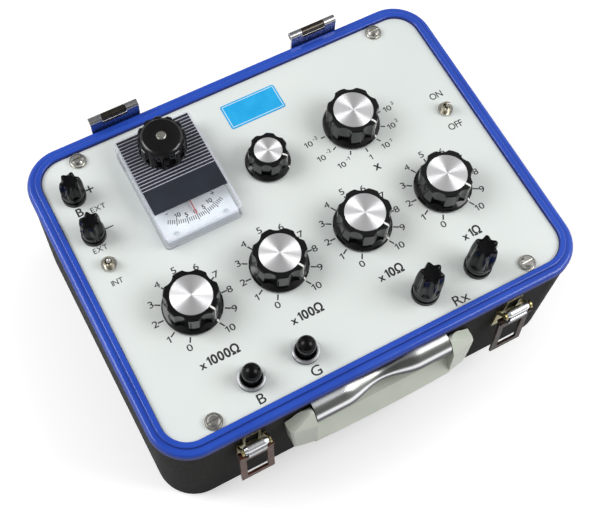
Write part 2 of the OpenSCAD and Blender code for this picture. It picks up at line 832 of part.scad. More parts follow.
module panel_nuts() {
    color("silver") {
        for (p = dial_xy) translate([p[0], p[1], panel_h]) difference() {
            cylinder(r = nut_r, h = nut_h, $fn = 6);
            translate([0, 0, -eps]) cylinder(r = bush_r + small / 2, h = nut_h + 2 * eps);
        }
        for (p = toggle_xy) translate([p[0], p[1], panel_h]) tube(ring_r, toggle_bush_r + small / 2, ring_h);
        for (p = post_xy) translate([p[0], p[1], panel_h - panel_t - post_nut_h]) difference() {
            cylinder(r = post_nut_r, h = post_nut_h, $fn = 6);
            translate([0, 0, -eps]) cylinder(r = stud_r + small / 2, h = post_nut_h + 2 * eps);
        }
        for (p = button_xy) translate([p[0], p[1], panel_h - panel_t - nut_h])
            tube(barrel_r + barrel_nut_w, barrel_r + small / 2, nut_h);
    }
}

// Meter

module meter_housing() {
    gap = cover_t + housing_gap;
    color("whitesmoke") {
        translate([meter_xy[0], meter_xy[1], panel_h])
            rounded_block(meter_w - 2 * gap, meter_d - 2 * gap, inner_corner_r, housing_h);
        translate([meter_xy[0], meter_xy[1], panel_h - can_depth]) cylinder(r = can_r, h = can_depth + eps);
        translate([needle_xy[0], needle_xy[1], panel_h + housing_h - eps])
            cylinder(r = pivot_r, h = needle_z + hub_h / 2 - panel_h - housing_h);
        translate([needle_xy[0], needle_xy[1], panel_h + housing_h - eps])
            cylinder(r = 2 * pivot_r, h = needle_z - hub_gap - panel_h - housing_h);
    }
}

module meter_scale() {
    color("white")
        translate([meter_xy[0] - meter_w / 2 + scale_gap, meter_front_y + scale_gap, panel_h + housing_h])
            cube([meter_w - 2 * scale_gap, scale_len, scale_t]);
}

module meter_needle() {
    color("firebrick") translate([needle_xy[0], needle_xy[1], needle_z]) {
        difference() {
            cylinder(r = hub_r, h = hub_h);
            translate([0, 0, -eps]) cylinder(r = pivot_r + shaft_gap, h = hub_h * 0.75);
        }
        translate([-needle_w / 2, -needle_len, hub_h / 4])
            cube([needle_w, needle_len - hub_r / 2 - pivot_r, hub_h / 4]);
    }
}

module meter_cover() {
    in_w = meter_w - 2 * cover_t;
    in_d = meter_d - 2 * cover_t;
    color("azure", 0.4) translate([meter_xy[0], meter_xy[1], panel_h]) difference() {
        rounded_block(meter_w, meter_d, meter_corner_r, meter_h);
        translate([0, 0, -eps]) rounded_block(in_w, in_d, inner_corner_r, meter_h - cover_t + eps);
        translate([0, zero_xy[1] - meter_xy[1], 0]) cylinder(r = spindle_r + shaft_gap, h = meter_h + eps);
    }
}

module meter_mask() {
    color("darkslategray") difference() {
        translate([meter_xy[0] - mask_w / 2, mask_back_y - mask_len, panel_h + meter_h])
            cube([mask_w, mask_len, mask_t]);
        for (i = [0 : rib_count - 1]) {
            translate([
                meter_xy[0] - mask_w / 2 - eps,
                mask_back_y - (i + 1) * mask_rib_len / (rib_count + 0.5),
                panel_h + meter_h + mask_t - rib_groove_depth
            ]) cube([mask_w + 2 * eps, rib_groove_w, rib_groove_depth + eps]);
        }
        translate([zero_xy[0], zero_xy[1], panel_h + meter_h - eps])
            cylinder(r = mask_hole_r, h = mask_t + 2 * eps);
    }
}

module zero_knob() {
    color("black") translate([zero_xy[0], zero_xy[1], zero_z]) difference() {
        union() {
            cylinder(r = zero_knob_r - zero_foot_inset, h = zero_foot_h);
            difference() {
                rotate_extrude() polygon(concat(
                    [[0, zero_foot_h / 2], [zero_knob_r, zero_foot_h / 2]],
                    [for (s = zero_shoulder) [zero_knob_r - s[0], zero_knob_h - s[1]]],
                    [[spindle_head_r + 1, zero_knob_h], [0, zero_knob_h]]
                ));
                for (i = [0 : lobe_count - 1]) rotate([0, 0, 360 * i / lobe_count])
                    translate([zero_knob_r + lobe_reach, 0, zero_foot_h])
                        cylinder(r = lobe_hollow_r, h = zero_knob_h);
            }
        }
        translate([0, 0, -eps]) cylinder(r = spindle_r + small / 2, h = zero_knob_h + 2 * eps);
        translate([0, 0, zero_knob_h - spindle_seat])
            cylinder(r = spindle_head_r + small, h = spindle_head_h);
    }
}

module zero_spindle() {
    head_z = zero_z + zero_knob_h - spindle_seat + small;
    side_h = spindle_head_h - spindle_bevel;
    color("silver") translate([zero_xy[0], zero_xy[1], 0]) difference() {
        union() {
            translate([0, 0, spindle_low_z]) cylinder(r = spindle_r, h = head_z - spindle_low_z + eps);
            translate([0, 0, head_z]) cylinder(r = spindle_head_r, h = side_h);
            translate([0, 0, head_z + side_h])
                cylinder(r1 = spindle_head_r, r2 = spindle_head_r - spindle_bevel, h = spindle_bevel);
        }
        translate([-spindle_head_r, -spindle_slot_w / 2, head_z + spindle_head_h / 2])
            cube([2 * spindle_head_r, spindle_slot_w, spindle_head_h]);
    }
}

// Toggle switches

module toggle_bodies() {
    color("goldenrod") for (p = toggle_xy) translate([p[0], p[1], panel_h]) difference() {
        union() {
            translate([-toggle_body[0] / 2, -toggle_body[1] / 2, -panel_t - toggle_body[2]])
                cube(toggle_body);
            translate([0, 0, -panel_t - eps]) cylinder(r = toggle_bush_r, h = panel_t + toggle_bush_h + eps);
        }
        translate([0, 0, -panel_t]) cylinder(r = toggle_bore_r, h = panel_t + toggle_bush_h + eps);
    }
}

// Lever lying to the front, its ball inside the bush
module toggle_lever(k) {
    pivot_z = panel_h + toggle_pivot_h;
    color("silver") translate([toggle_xy[k][0], toggle_xy[k][1], pivot_z]) rotate([lever_tilt, 0, 0]) {
        sphere(r = toggle_bore_r - lever_ball_gap);
        cylinder(r1 = lever_tip_r * lever_neck, r2 = lever_tip_r, h = lever_len - lever_tip_r);
        translate([0, 0, lever_len - lever_tip_r]) sphere(r = lever_tip_r);
    }
}

// Push buttons

module button_collars() {
    color("silver") for (p = button_xy) translate([p[0], p[1], panel_h]) difference() {
        union() {
            cylinder(r = collar_r, h = collar_h - collar_bevel);
            translate([0, 0, collar_h - collar_bevel])
                cylinder(r1 = collar_r, r2 = collar_r - collar_bevel, h = collar_bevel);
            translate([0, 0, -barrel_depth]) cylinder(r = barrel_r, h = barrel_depth + eps);
        }
        translate([0, 0, -barrel_depth + barrel_floor_t])
            cylinder(r = button_bore_r, h = barrel_depth + collar_h);
        translate([0, 0, collar_h - collar_bevel])
            cylinder(r1 = button_bore_r - eps, r2 = button_bore_r + collar_bevel, h = collar_bevel + eps);
        translate([0, 0, -barrel_depth - eps])
            cylinder(r = stem_r + shaft_gap, h = barrel_floor_t + 2 * eps);
    }
}

module button_cap(k) {
    color("black") translate([button_xy[k][0], button_xy[k][1], panel_h]) {
        translate([0, 0, -button_skirt_drop]) {
            cylinder(r = button_r, h = button_guide_h);
            cylinder(r = button_neck_r, h = button_h - button_r + button_skirt_drop);
        }
        translate([0, 0, button_h - button_r]) sphere(r = button_r);
        translate([0, 0, -barrel_depth - stem_past]) cylinder(r = stem_r, h = barrel_depth + stem_past);
    }
}

// Space that the return spring fills inside the barrel
module button_spring(k) {
    low = panel_h - barrel_depth + barrel_floor_t + small;
    color("gray") translate([button_xy[k][0], button_xy[k][1], low])
        tube(button_bore_r - spring_gap, stem_r + spring_gap, panel_h - button_skirt_drop - small - low);
}

// Binding posts

module post_bases() {
    color("black") for (k = [0 : 3]) translate([post_xy[k][0], post_xy[k][1], panel_h]) difference() {
        union() {
            cylinder(r = post_radius[k], h = post_collar_h - collar_bevel);
            translate([0, 0, post_collar_h - collar_bevel])
                cylinder(r1 = post_radius[k], r2 = post_radius[k] - collar_bevel, h = collar_bevel);
        }
        translate([0, 0, -eps]) cylinder(r = stud_r + small / 2, h = post_collar_h + 2 * eps);
    }
}

module post_studs() {
    color("gold") for (k = [0 : 3]) translate([post_xy[k][0], post_xy[k][1], panel_h - stud_drop])
        cylinder(r = stud_r, h = stud_drop + post_height[k] - stud_top_cover);
}

// Fluted cap that screws down on its stud: straight foot, then a cone
module post_cap(k) {
    low = post_collar_h + post_cap_gap;
    h = post_height[k] - low;
    r = post_radius[k] - post_cap_inset;
    top_r = r * post_top_ratio;
    waist = h * post_waist_ratio;
    lean = atan((r - top_r) / (h - waist));
    flute_x = r - post_flute_depth + post_flute_r;
    color("black") translate([post_xy[k][0], post_xy[k][1], panel_h + low]) difference() {
        union() {
            cylinder(r = r, h = waist);
            translate([0, 0, waist - eps])
                cylinder(r1 = r, r2 = top_r, h = h - post_top_bevel - waist + eps);
            translate([0, 0, h - post_top_bevel - eps])
                cylinder(r1 = top_r, r2 = top_r - post_top_bevel, h = post_top_bevel);
        }
        for (i = [0 : post_flutes - 1]) rotate([0, 0, 360 * (i + 0.5) / post_flutes]) {
            translate([flute_x, 0, post_flute_start]) cylinder(r = post_flute_r, h = h);
            translate([flute_x, 0, waist]) rotate([0, -lean, 0]) translate([0, 0, -post_flute_overlap])
                cylinder(r = post_flute_r, h = h);
        }
        translate([0, 0, -eps]) cylinder(r = stud_r + stud_gap, h = h - stud_top_cover + 1);
    }
}

// Hinges

module hinge_leaves() {
    color("silver") for (x = hinge_x) translate([x - hinge_w / 2, 0, 0]) difference() {
        union() {
            translate([0, back_y, panel_h - leaf_drop])
                cube([hinge_w, leaf_front_y + leaf_t - back_y, leaf_pad_top - panel_h + leaf_drop]);
            translate([0, leaf_front_y, leaf_pad_top - eps]) cube([hinge_w, leaf_t, hinge_z - leaf_pad_top]);
            translate([hinge_w / 2, hinge_y, hinge_z]) rod_x(knuckle_r, hinge_w);
        }
        translate([knuckle_w, leaf_front_y - eps, hinge_z - knuckle_r - knuckle_gap])
            cube([hinge_w - 2 * knuckle_w, 3 * knuckle_r, 3 * knuckle_r]);
        translate([hinge_w / 2, hinge_y, hinge_z]) rod_x(hinge_pin_r + small / 2, hinge_w + 2 * eps);
    }
}

module hinge_pins() {
    color("dimgray") for (x = hinge_x) translate([x, hinge_y, hinge_z]) rod_x(hinge_pin_r, hinge_w);
}

// Latches

// Tail of an ear, seen from the side: from the eye down to the base's foot
module latch_tail() {
    foot_y = latch_out - latch_t / 2;
    foot_z = latch_foot_top - latch_z;
    rotate([90, 0, 90]) linear_extrude(height = latch_t, center = true)
        polygon([[0, -latch_tail_h / 2], [foot_y, foot_z - latch_tail_h],
                 [foot_y, foot_z], [0, latch_tail_h / 2]]);
}

// Base: a wide foot with two ears, a narrow frame over it and the lever's pin riveted through the ears
module latch_bases() {
    foot_low = latch_plate_top - latch_plate_h;
    color("darkkhaki") for (x = latch_x) translate([x, 0, 0]) {
        difference() {
            union() {
                translate([-latch_w / 2 - latch_t, front_y - latch_t, foot_low])
                    cube([latch_w + 2 * latch_t, latch_t, latch_foot_top - foot_low]);
                translate([-latch_frame_w / 2, front_y - latch_t, foot_low])
                    cube([latch_frame_w, latch_t, latch_plate_top - foot_low]);
            }
            translate([latch_frame_side - latch_frame_w / 2, front_y - latch_t - eps, latch_window_low])
                cube([latch_frame_w - 2 * latch_frame_side, latch_t + 2 * eps,
                      latch_plate_top - latch_frame_side - latch_window_low]);
        }
        for (sx = [-1, 1]) translate([sx * (latch_w + latch_t) / 2, latch_y, latch_z]) {
            latch_tail();
            rod_x(latch_ear_r, latch_t);
        }
        translate([0, latch_y, latch_z]) rod_x(latch_pin_r, latch_w + 2 * latch_t);
    }
}

// Lever with its rolled edge on the base's pin, and the loop's pin near its end
module latch_lever(k) {
    roll_w = latch_w - 2 * roll_gap;
    plate_w = loop_in_w - 2 * lever_side_gap;
    color("silver") translate([latch_x[k], latch_y, latch_z]) difference() {
        union() {
            rod_x(roll_r, roll_w - 2 * roll_end_w);
            for (side = [-90, 90]) rotate([0, side, 0]) translate([0, 0, roll_w / 2 - roll_end_w])
                cylinder(r1 = roll_r, r2 = roll_end_ratio * roll_r, h = roll_end_w);
            translate([-plate_w / 2, -roll_r, -latch_lever_len]) cube([plate_w, latch_t, latch_lever_len]);
            translate([0, latch_t - roll_r - lever_ridge_r, -lever_ridge_drop])
                rod_x(lever_ridge_r, plate_w);
            translate([-plate_w / 2, -roll_r, -loop_offset - boss_h / 2])
                cube([plate_w, roll_r + boss_back, boss_h]);
            translate([0, 0, -loop_offset]) rod_x(latch_pin_r, loop_w);
        }
        rod_x(latch_pin_r + latch_fit, roll_w + 1);
    }
}

// Loop that hooks over the lid's catch, hanging from the lever
module latch_loop(k) {
    color("saddlebrown") translate([latch_x[k], latch_y, loop_z]) rotate([-loop_lean, 0, 0]) difference() {
        union() {
            for (sx = [-1, 1]) {
                translate([sx * (loop_w - loop_leg_w) / 2, 0, 0]) rod_x(loop_eye_r, loop_leg_w);
                translate([sx * (loop_w - loop_leg_w) / 2 - loop_leg_w / 2, -loop_t / 2, -loop_len])
                    cube([loop_leg_w, loop_t, loop_len]);
            }
            translate([-loop_w / 2, -loop_t / 2, -loop_len]) cube([loop_w, loop_t, loop_foot]);
            translate([-loop_w / 2, -loop_t / 2, -loop_bar_drop]) cube([loop_w, loop_t, loop_bar_h]);
        }
        rod_x(latch_pin_r + latch_fit, loop_w + 1);
    }
}

// Handle

// Half outline of the waisted strap (radius against length), from the waist to one end
function strap_radius(t) = strap_waist_r + (strap_end_r - strap_waist_r) * (1 - cos(180 * t)) / 2;
function strap_curve(inset) = let (run = strap_len / 2 - strap_end_len, n = 2 * arc_steps) concat(
    [for (i = [n : -1 : 0]) [strap_radius(i / n) - inset, -run * i / n]],
    [for (i = [1 : n]) [strap_radius(i / n) - inset, run * i / n]]
);

module strap_profile() {
    half = strap_len / 2;
    polygon(concat(
        [[strap_end_r - strap_t, -half], [strap_end_r, -half]],
        strap_curve(0),
        [[strap_end_r, half], [strap_end_r - strap_t, half]],
        [for (i = [len(strap_curve(0)) - 1 : -1 : 0]) strap_curve(strap_t)[i]]
    ));
}

// Quarter of a waisted tube on the wall, closed at both ends by webs that hold the grip's pins
module handle_strap() {
    color("silver") translate([handle_x, front_y, strap_axis_z]) difference() {
        union() {
            rotate([0, 90, 0]) rotate([0, 0, 180]) rotate_extrude(angle = 90) strap_profile();
            for (sx = [-1, 1]) translate([sx * (strap_len - web_t) / 2, 0, 0]) intersection() {
                rod_x(strap_end_r - eps, web_t);
                translate([-web_t, -strap_end_r, 0]) cube([2 * web_t, strap_end_r, strap_end_r]);
            }
            translate([-strap_len / 2, -strap_t, -strap_end_r])
                cube([strap_len, strap_t, strap_end_r + strap_waist_r - 2 * strap_t]);
        }
        for (sx = [-1, 1]) {
            translate([sx * (strap_len - web_t) / 2, handle_y - front_y, handle_z - strap_axis_z])
                rod_x(handle_pin_r + small / 2, web_t + 2 * eps);
        }
    }
}

module handle_pins() {
    pin_len = web_t + arm_gap + arm_pin_len;
    pin_x = strap_len / 2 - web_t + pin_len / 2;
    color("lightgray") for (sx = [-1, 1]) {
        translate([handle_x + sx * pin_x, handle_y, handle_z]) rod_x(handle_pin_r, pin_len);
    }
}

// Side view of an arm's core (out from the wall, up), round at the pivot
module arm_side() {
    far_y = front_y - 2 * bar_out;
    translate([handle_y, handle_z]) circle(arm_end_r);
    polygon([[grip_back_y, grip_low_z], [far_y, grip_low_z], [far_y, handle_z], [grip_back_y, handle_z]]);
}

// Side view of an arm's faces: steep front, and the facet that slopes back from its shoulder to the pivot
module arm_face_side() {
    top = handle_z + arm_end_r;
    back = arm_front_y + arm_face_back;
    polygon([
        [back, grip_low_z - grip_edge_h], [arm_front_y + 2 * grip_edge_out, grip_low_z - grip_edge_h],
        [arm_front_y, grip_edge_z], [shoulder_y, shoulder_z],
        [handle_y - arm_top_out, top], [handle_y - arm_top_out, top + 1], [back, top + 1]
    ]);
}

// Arm beside the strap's end (side = -1 left, 1 right), its faces turned towards the wall
module arm(side) {
    arm_w = grip_len / 2 - arm_in_x;
    face_len = 2 * arm_w;
    intersection() {
        translate([side > 0 ? arm_in_x : -arm_in_x - arm_w, 0, 0])
            rotate([90, 0, 90]) linear_extrude(arm_w) arm_side();
        translate([side * arm_in_x, arm_front_y, 0]) rotate([0, 0, side * arm_turn])
            translate([(side * arm_w - face_len) / 2, -arm_front_y, 0])
                rotate([90, 0, 90]) linear_extrude(face_len) arm_face_side();
    }
}

// Side view of the grip bar between the arms
module bar_side() {
    polygon([
        [grip_back_y, grip_low_z], [grip_front_y + grip_edge_out, grip_low_z], [grip_front_y, grip_edge_z],
        [front_y - bar_top_out, grip_bar_top_z], [grip_back_y, grip_bar_top_z]
    ]);
}

// Front view of the grip, with sloping shoulders
module grip_front() {
    half = grip_len / 2;
    top = handle_z + arm_end_r + bar_overlap / 2;
    polygon([
        [-half, grip_tip_z], [-half + grip_foot_in, grip_low_z],
        [half - grip_foot_in, grip_low_z], [half, grip_tip_z],
        [arm_in_x + arm_flat_w, top], [-arm_in_x - arm_flat_w, top]
    ]);
}

// View of the grip from above: bowed front and round ends
module grip_plan() {
    half = grip_len / 2;
    bow_r = (arm_in_x * arm_in_x + bar_bow * bar_bow) / (2 * bar_bow);
    round_x = half - end_round_r;
    round_y = front_y - end_tip_out;
    intersection() {
        translate([0, grip_front_y + bow_r]) circle(bow_r, $fn = 360);
        polygon(concat(
            [[-half, front_y]],
            quarter(-round_x, round_y, end_round_r, 180),
            [[-arm_in_x, grip_front_y - 1], [arm_in_x, grip_front_y - 1]],
            quarter(round_x, round_y, end_round_r, 270),
            [[half, front_y]]
        ));
    }
}

module handle_grip() {
    color("wheat") translate([handle_x, 0, 0]) difference() {
        intersection() {
            union() {
                arm(-1);
                arm(1);
                translate([-arm_in_x - bar_overlap, 0, 0]) rotate([90, 0, 90])
                    linear_extrude(2 * (arm_in_x + bar_overlap)) bar_side();
            }
            translate([0, 0, grip_low_z - 1]) linear_extrude(panel_h) grip_plan();
            rotate([90, 0, 0]) linear_extrude(case_d) grip_front();
        }
        for (sx = [-1, 1]) translate([sx * (arm_in_x + arm_pin_len / 2), handle_y, handle_z])
            rod_x(handle_pin_r + shaft_gap, arm_pin_len + 2 * pin_end_gap);
    }
}

// Things on the floor of the case

module battery_holder() {
    color("gray") translate([tray_xy[0], tray_xy[1], floor_t]) difference() {
        translate([-tray_in[0] / 2 - tray_t, -tray_in[1] / 2 - tray_t, 0])
            cube([tray_in[0] + 2 * tray_t, tray_in[1] + 2 * tray_t, cell_r + tray_t]);
        translate([-tray_in[0] / 2, -tray_in[1] / 2, tray_t]) cube([tray_in[0], tray_in[1], cell_r + eps]);
    }
}

module batteries() {
    row_y = tray_xy[1] - (cell_count - 1) / 2 * cell_pitch;
    color("brown") for (i = [0 : cell_count - 1]) {
        translate([tray_xy[0], row_y + i * cell_pitch, cell_z]) rod_x(cell_r, cell_len);
    }
}

module resistor_board() {
    color("darkgreen") translate([board_xy[0], board_xy[1], floor_t]) {
        for (sx = [-1, 1], sy = [-1, 1]) {
            translate([sx * (board_w / 2 - board_leg_inset), sy * (board_d / 2 - board_leg_inset), 0])
                cylinder(r = board_leg_r, h = board_leg_h + eps);
        }
        translate([-board_w / 2, -board_d / 2, board_leg_h]) cube([board_w, board_d, board_t]);
        for (i = [0 : 4], sy = [-1, 1]) {
            translate([(i - 2) * board_w / 6, sy * board_d / 6, board_leg_h + board_t - eps])
                cylinder(r = bobbin_r, h = bobbin_h);
        }
    }
}

case_shell();
rim();
front_panel();
panel_screws();
hinge_leaves();
hinge_pins();
latch_bases();
latch_lever(0);  // latch_lever_left
latch_lever(1);  // latch_lever_right
latch_loop(0);  // latch_loop_left
latch_loop(1);  // latch_loop_right
handle_strap();
handle_pins();
handle_grip();
decade_knob(0);  // knob_1000
decade_knob(1);  // knob_100
decade_knob(2);  // knob_10
decade_knob(3);  // knob_1
knob_multiplier();
knob_sensitivity();
knob_disc(decade_xy[0], knob_h, cap_r);  // cap_1000
knob_disc(decade_xy[1], knob_h, cap_r);  // cap_100
knob_disc(decade_xy[2], knob_h, cap_r);  // cap_10
knob_disc(decade_xy[3], knob_h, cap_r);  // cap_1
knob_disc(multiplier_xy, knob_h, cap_r);  // cap_multiplier
knob_disc(sensitivity_xy, small_knob_h, small_cap_r);  // cap_sensitivity
shaft_shape(decade_xy[0], knob_h, switch_depth, true);  // shaft_1000
shaft_shape(decade_xy[1], knob_h, switch_depth, true);  // shaft_100
shaft_shape(decade_xy[2], knob_h, switch_depth, true);  // shaft_10
shaft_shape(decade_xy[3], knob_h, switch_depth, true);  // shaft_1
shaft_shape(multiplier_xy, knob_h, switch_depth, true);  // shaft_multiplier
shaft_shape(sensitivity_xy, small_knob_h, pot_depth, false);  // shaft_sensitivity
decade_switches();
multiplier_switch();
sensitivity_pot();
panel_nuts();
meter_housing();
meter_scale();
meter_needle();
meter_cover();
meter_mask();
zero_knob();
zero_spindle();
toggle_bodies();
toggle_lever(0);  // toggle_lever_left
toggle_lever(1);  // toggle_lever_right
post_bases();
post_studs();
post_cap(0);  // post_cap_plus
post_cap(1);  // post_cap_minus
post_cap(2);  // post_cap_rx_left
post_cap(3);  // post_cap_rx_right
button_collars();
button_cap(0);  // button_cap_b
button_cap(1);  // button_cap_g
button_spring(0);  // button_spring_b
button_spring(1);  // button_spring_g
battery_holder();
batteries();
resistor_board();
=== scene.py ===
"""Portable resistance bridge: finishes, printing, small pieces, lights and camera.

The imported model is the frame. Lengths are in mm from its origin and angles in degrees, unless a
comment says otherwise. Colours are sRGB, 0 to 255.
"""
import math

import bmesh
import bpy
from mathutils import Matrix, Vector


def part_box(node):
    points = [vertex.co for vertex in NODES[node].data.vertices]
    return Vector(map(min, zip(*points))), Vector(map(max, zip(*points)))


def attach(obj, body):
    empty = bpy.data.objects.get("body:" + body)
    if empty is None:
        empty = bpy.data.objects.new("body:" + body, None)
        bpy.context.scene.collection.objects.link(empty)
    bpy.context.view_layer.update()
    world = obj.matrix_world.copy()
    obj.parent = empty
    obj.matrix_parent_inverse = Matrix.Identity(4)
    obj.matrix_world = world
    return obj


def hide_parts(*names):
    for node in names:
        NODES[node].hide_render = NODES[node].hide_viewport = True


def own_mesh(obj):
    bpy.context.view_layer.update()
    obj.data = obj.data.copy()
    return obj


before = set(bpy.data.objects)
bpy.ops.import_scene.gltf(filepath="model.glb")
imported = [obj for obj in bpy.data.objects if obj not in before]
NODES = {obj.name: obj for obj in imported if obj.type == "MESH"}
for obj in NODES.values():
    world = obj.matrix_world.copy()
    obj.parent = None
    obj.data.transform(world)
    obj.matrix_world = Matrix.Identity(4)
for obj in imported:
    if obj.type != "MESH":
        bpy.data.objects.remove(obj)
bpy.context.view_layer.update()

MM = 0.001

# Places on the model.
PANEL_Z = 93.0                      # panel surface
SCALE_Z = 98.6                      # top of the meter's scale plate
DECADES = {"1000": (-83.3, -25.0), "100": (-27.3, -25.0),
           "10": (28.7, -25.0), "1": (84.7, -25.0)}
MULTIPLIER = (56.7, 38.2)
SENSITIVITY = (-1.5, 38.2)
METER_PIVOT = (-56.1, 59.5)
COVER_AT = (-56.1, 49.2)            # middle of the meter's cover
COVER_FLAT = (23.4, 34.7)           # half sizes of the flat of the cover's face
COVER_EDGE = 0.4                    # width over which the painted reflection on the cover's border sets in
GROOVE_Z = 106.9                    # over the mask's grooves and under the tops of its ribs
CELL_Y = 10.0                       # middle of the dry cells
CELL_SLEEVE = 37.5                  # half length of their sleeves
ZERO_AT = (-56.1, 68.7, 107.7)      # foot of the zero knob
HINGE_X = (-71.2, 66.8)
HINGE_AXIS = (108.0, 101.0)         # y and z of the hinge pins
LEAF_FACE_Y = 106.6                 # outer face of the hinge leaves


# ---------------------------------------------------------------- materials

NOISE_SPAN = (0.3, 0.7)                         # where most of a noise lies
MIX_FIRST, MIX_SECOND, MIX_RESULT = 6, 7, 2     # colour sockets of a Mix node


def linear(red, green, blue):
    """An sRGB colour as the linear colour a shader takes."""
    def channel(value):
        value /= 255.0
        return value / 12.92 if value <= 0.04045 else ((value + 0.055) / 1.055) ** 2.4
    return (channel(red), channel(green), channel(blue), 1.0)


def grey(level):
    """A linear grey."""
    return (level, level, level, 1.0)


def add_node(tree, kind, inputs=None, **settings):
    """A new shader node; each of its inputs is linked to an output or set to a value."""
    node = tree.nodes.new("ShaderNode" + kind)
    for name, value in settings.items():
        setattr(node, name, value)
    for key, value in (inputs or {}).items():
        if isinstance(value, bpy.types.NodeSocket):
            tree.links.new(value, node.inputs[key])
        else:
            node.inputs[key].default_value = value
    return node


def set_stops(ramp, stops):
    """Gives a colour ramp its stops, each a place and a linear colour."""
    while len(ramp.elements) < len(stops):
        ramp.elements.new(0.5)
    for element, (place, colour) in zip(ramp.elements, stops):
        element.position = place
        element.color = colour


class Finish:
    """A node material round one Principled shader; its sizes are in metres."""

    def __init__(self, name, **sockets):
        self.material = bpy.data.materials.new(name)
        self.material.use_nodes = True
        self.tree = self.material.node_tree
        self.shader = self.tree.nodes["Principled BSDF"]
        for socket, value in sockets.items():
            self.shader.inputs[socket.replace("_", " ")].default_value = value

    def add(self, kind, inputs=None, **settings):
        return add_node(self.tree, kind, inputs, **settings)

    def feed(self, output, socket):
        self.tree.links.new(output, self.shader.inputs[socket])

    def coords(self, source="Object", scale=(1.0, 1.0, 1.0), shift=(0.0, 0.0, 0.0)):
        place = self.add("TexCoord").outputs[source]
        moved = self.add("Mapping", {"Vector": place, "Scale": scale, "Location": shift})
        return moved.outputs["Vector"]

    def place(self, shift=(0.0, 0.0, 0.0)):
        """The X, Y and Z of a point on the piece."""
        return self.add("SeparateXYZ", {"Vector": self.coords(shift=shift)}).outputs

    def upward(self):
        """How far a face looks up: 1 level, 0 upright."""
        normal = self.add("NewGeometry").outputs["Normal"]
        return self.add("SeparateXYZ", {"Vector": normal}).outputs["Z"]

    def calc(self, operation, *values):
        return self.add("Math", dict(enumerate(values)), operation=operation).outputs["Value"]

    def levels(self, factor, low, high, start=NOISE_SPAN[0], end=NOISE_SPAN[1]):
        """Goes from low to high as the factor goes from start to end."""
        node = self.add("MapRange", {"Value": factor, "From Min": start, "From Max": end,
                                     "To Min": low, "To Max": high})
        return node.outputs["Result"]

    def noise(self, size, detail=2.0, stretch=(1.0, 1.0, 1.0)):
        place = self.coords(scale=stretch)
        node = self.add("TexNoise", {"Vector": place, "Scale": 1.0 / size, "Detail": detail})
        return node.outputs["Fac"]

    def specks(self, size, inner, outer):
        """1 in round specks, one to a cell of this size, and 0 between them."""
        cells = self.add("TexVoronoi", {"Vector": self.coords(), "Scale": 1.0 / size})
        return self.levels(cells.outputs["Distance"], 1.0, 0.0, inner, outer)

    def ramp(self, factor, *stops):
        node = self.add("ValToRGB", {"Fac": factor})
        set_stops(node.color_ramp, stops)
        return node.outputs["Color"]

    def drift(self, size, dark, light, detail=3.0):
        """A colour that wanders between two others, in patches of about this size."""
        ends = zip(NOISE_SPAN, (linear(*dark), linear(*light)))
        return self.ramp(self.noise(size, detail), *ends)

    def blend(self, factor, first, second):
        """The first colour where the factor is 0, and the second where it is 1."""
        inputs = {"Factor": factor, MIX_FIRST: first, MIX_SECOND: second}
        return self.add("Mix", inputs, data_type="RGBA").outputs[MIX_RESULT]

    def bump(self, height, depth, under=None):
        inputs = {"Height": height, "Distance": depth}
        if under is not None:
            inputs["Normal"] = under
        return self.add("Bump", inputs).outputs["Normal"]

    def grain(self, height, rough, depth, under=None):
        """Roughness within a range and bump of a depth, both from one height."""
        self.feed(self.levels(height, *rough), "Roughness")
        self.feed(self.bump(height, depth, under), "Normal")


def plain(name, light, dark, patch, rough, grain, depth, stretch=(1.0, 1.0, 1.0), **sockets):
    """A finish that drifts between two colours in patches, over a finer grain."""
    made = Finish(name, **sockets)
    made.feed(made.drift(patch, dark, light, detail=4.0), "Base Color")
    made.grain(made.noise(grain, detail=3.0, stretch=stretch), rough, depth)
    return made


def powder_coat():
    """Dark grey baked paint with a fine pebble and a few paler specks."""
    made = Finish("case_powder_coat", Specular_IOR_Level=0.01)
    ground = made.drift(0.07, dark=(35, 35, 35), light=(42, 41, 40), detail=4.0)
    specks = made.specks(0.0016, inner=0.08, outer=0.16)
    made.feed(made.blend(specks, ground, linear(54, 53, 52)), "Base Color")
    waves = made.bump(made.noise(0.02), depth=0.0002)
    pebble = made.noise(0.0011, detail=3.0)
    made.grain(pebble, rough=(0.46, 0.6), depth=0.00006, under=waves)
    return made


def enamel():
    """Glossy blue enamel with a slight orange peel, duller on its steep faces, with painted shade
    that darkens them to a deeper blue.
    """
    made = Finish("rim_enamel", Specular_IOR_Level=0.5)
    ground = made.drift(0.05, dark=(32, 70, 174), light=(42, 82, 188))
    # Painted shade: the steep faces, such as the ridge's inner wall, turn a deeper blue.
    steep = made.levels(made.upward(), 1.0, 0.0, start=0.1, end=0.8)
    made.feed(made.blend(steep, ground, linear(16, 38, 126)), "Base Color")
    peel = made.noise(0.003)
    dull = made.calc("MULTIPLY", steep, 0.5)
    made.feed(made.calc("ADD", made.levels(peel, 0.14, 0.2), dull), "Roughness")
    made.feed(made.bump(peel, depth=0.000004), "Normal")
    return made


def panel_paint():
    """Off-white stoved paint, satin, with a fine texture and a faint drift of tint."""
    made = Finish("panel_paint_satin", Specular_IOR_Level=0.4)
    ground = made.drift(0.09, dark=(215, 221, 218), light=(222, 227, 224))
    specks = made.specks(0.0012, inner=0.05, outer=0.13)
    made.feed(made.blend(specks, ground, linear(209, 215, 212)), "Base Color")
    made.grain(made.noise(0.0009), rough=(0.40, 0.54), depth=0.00003)
    return made


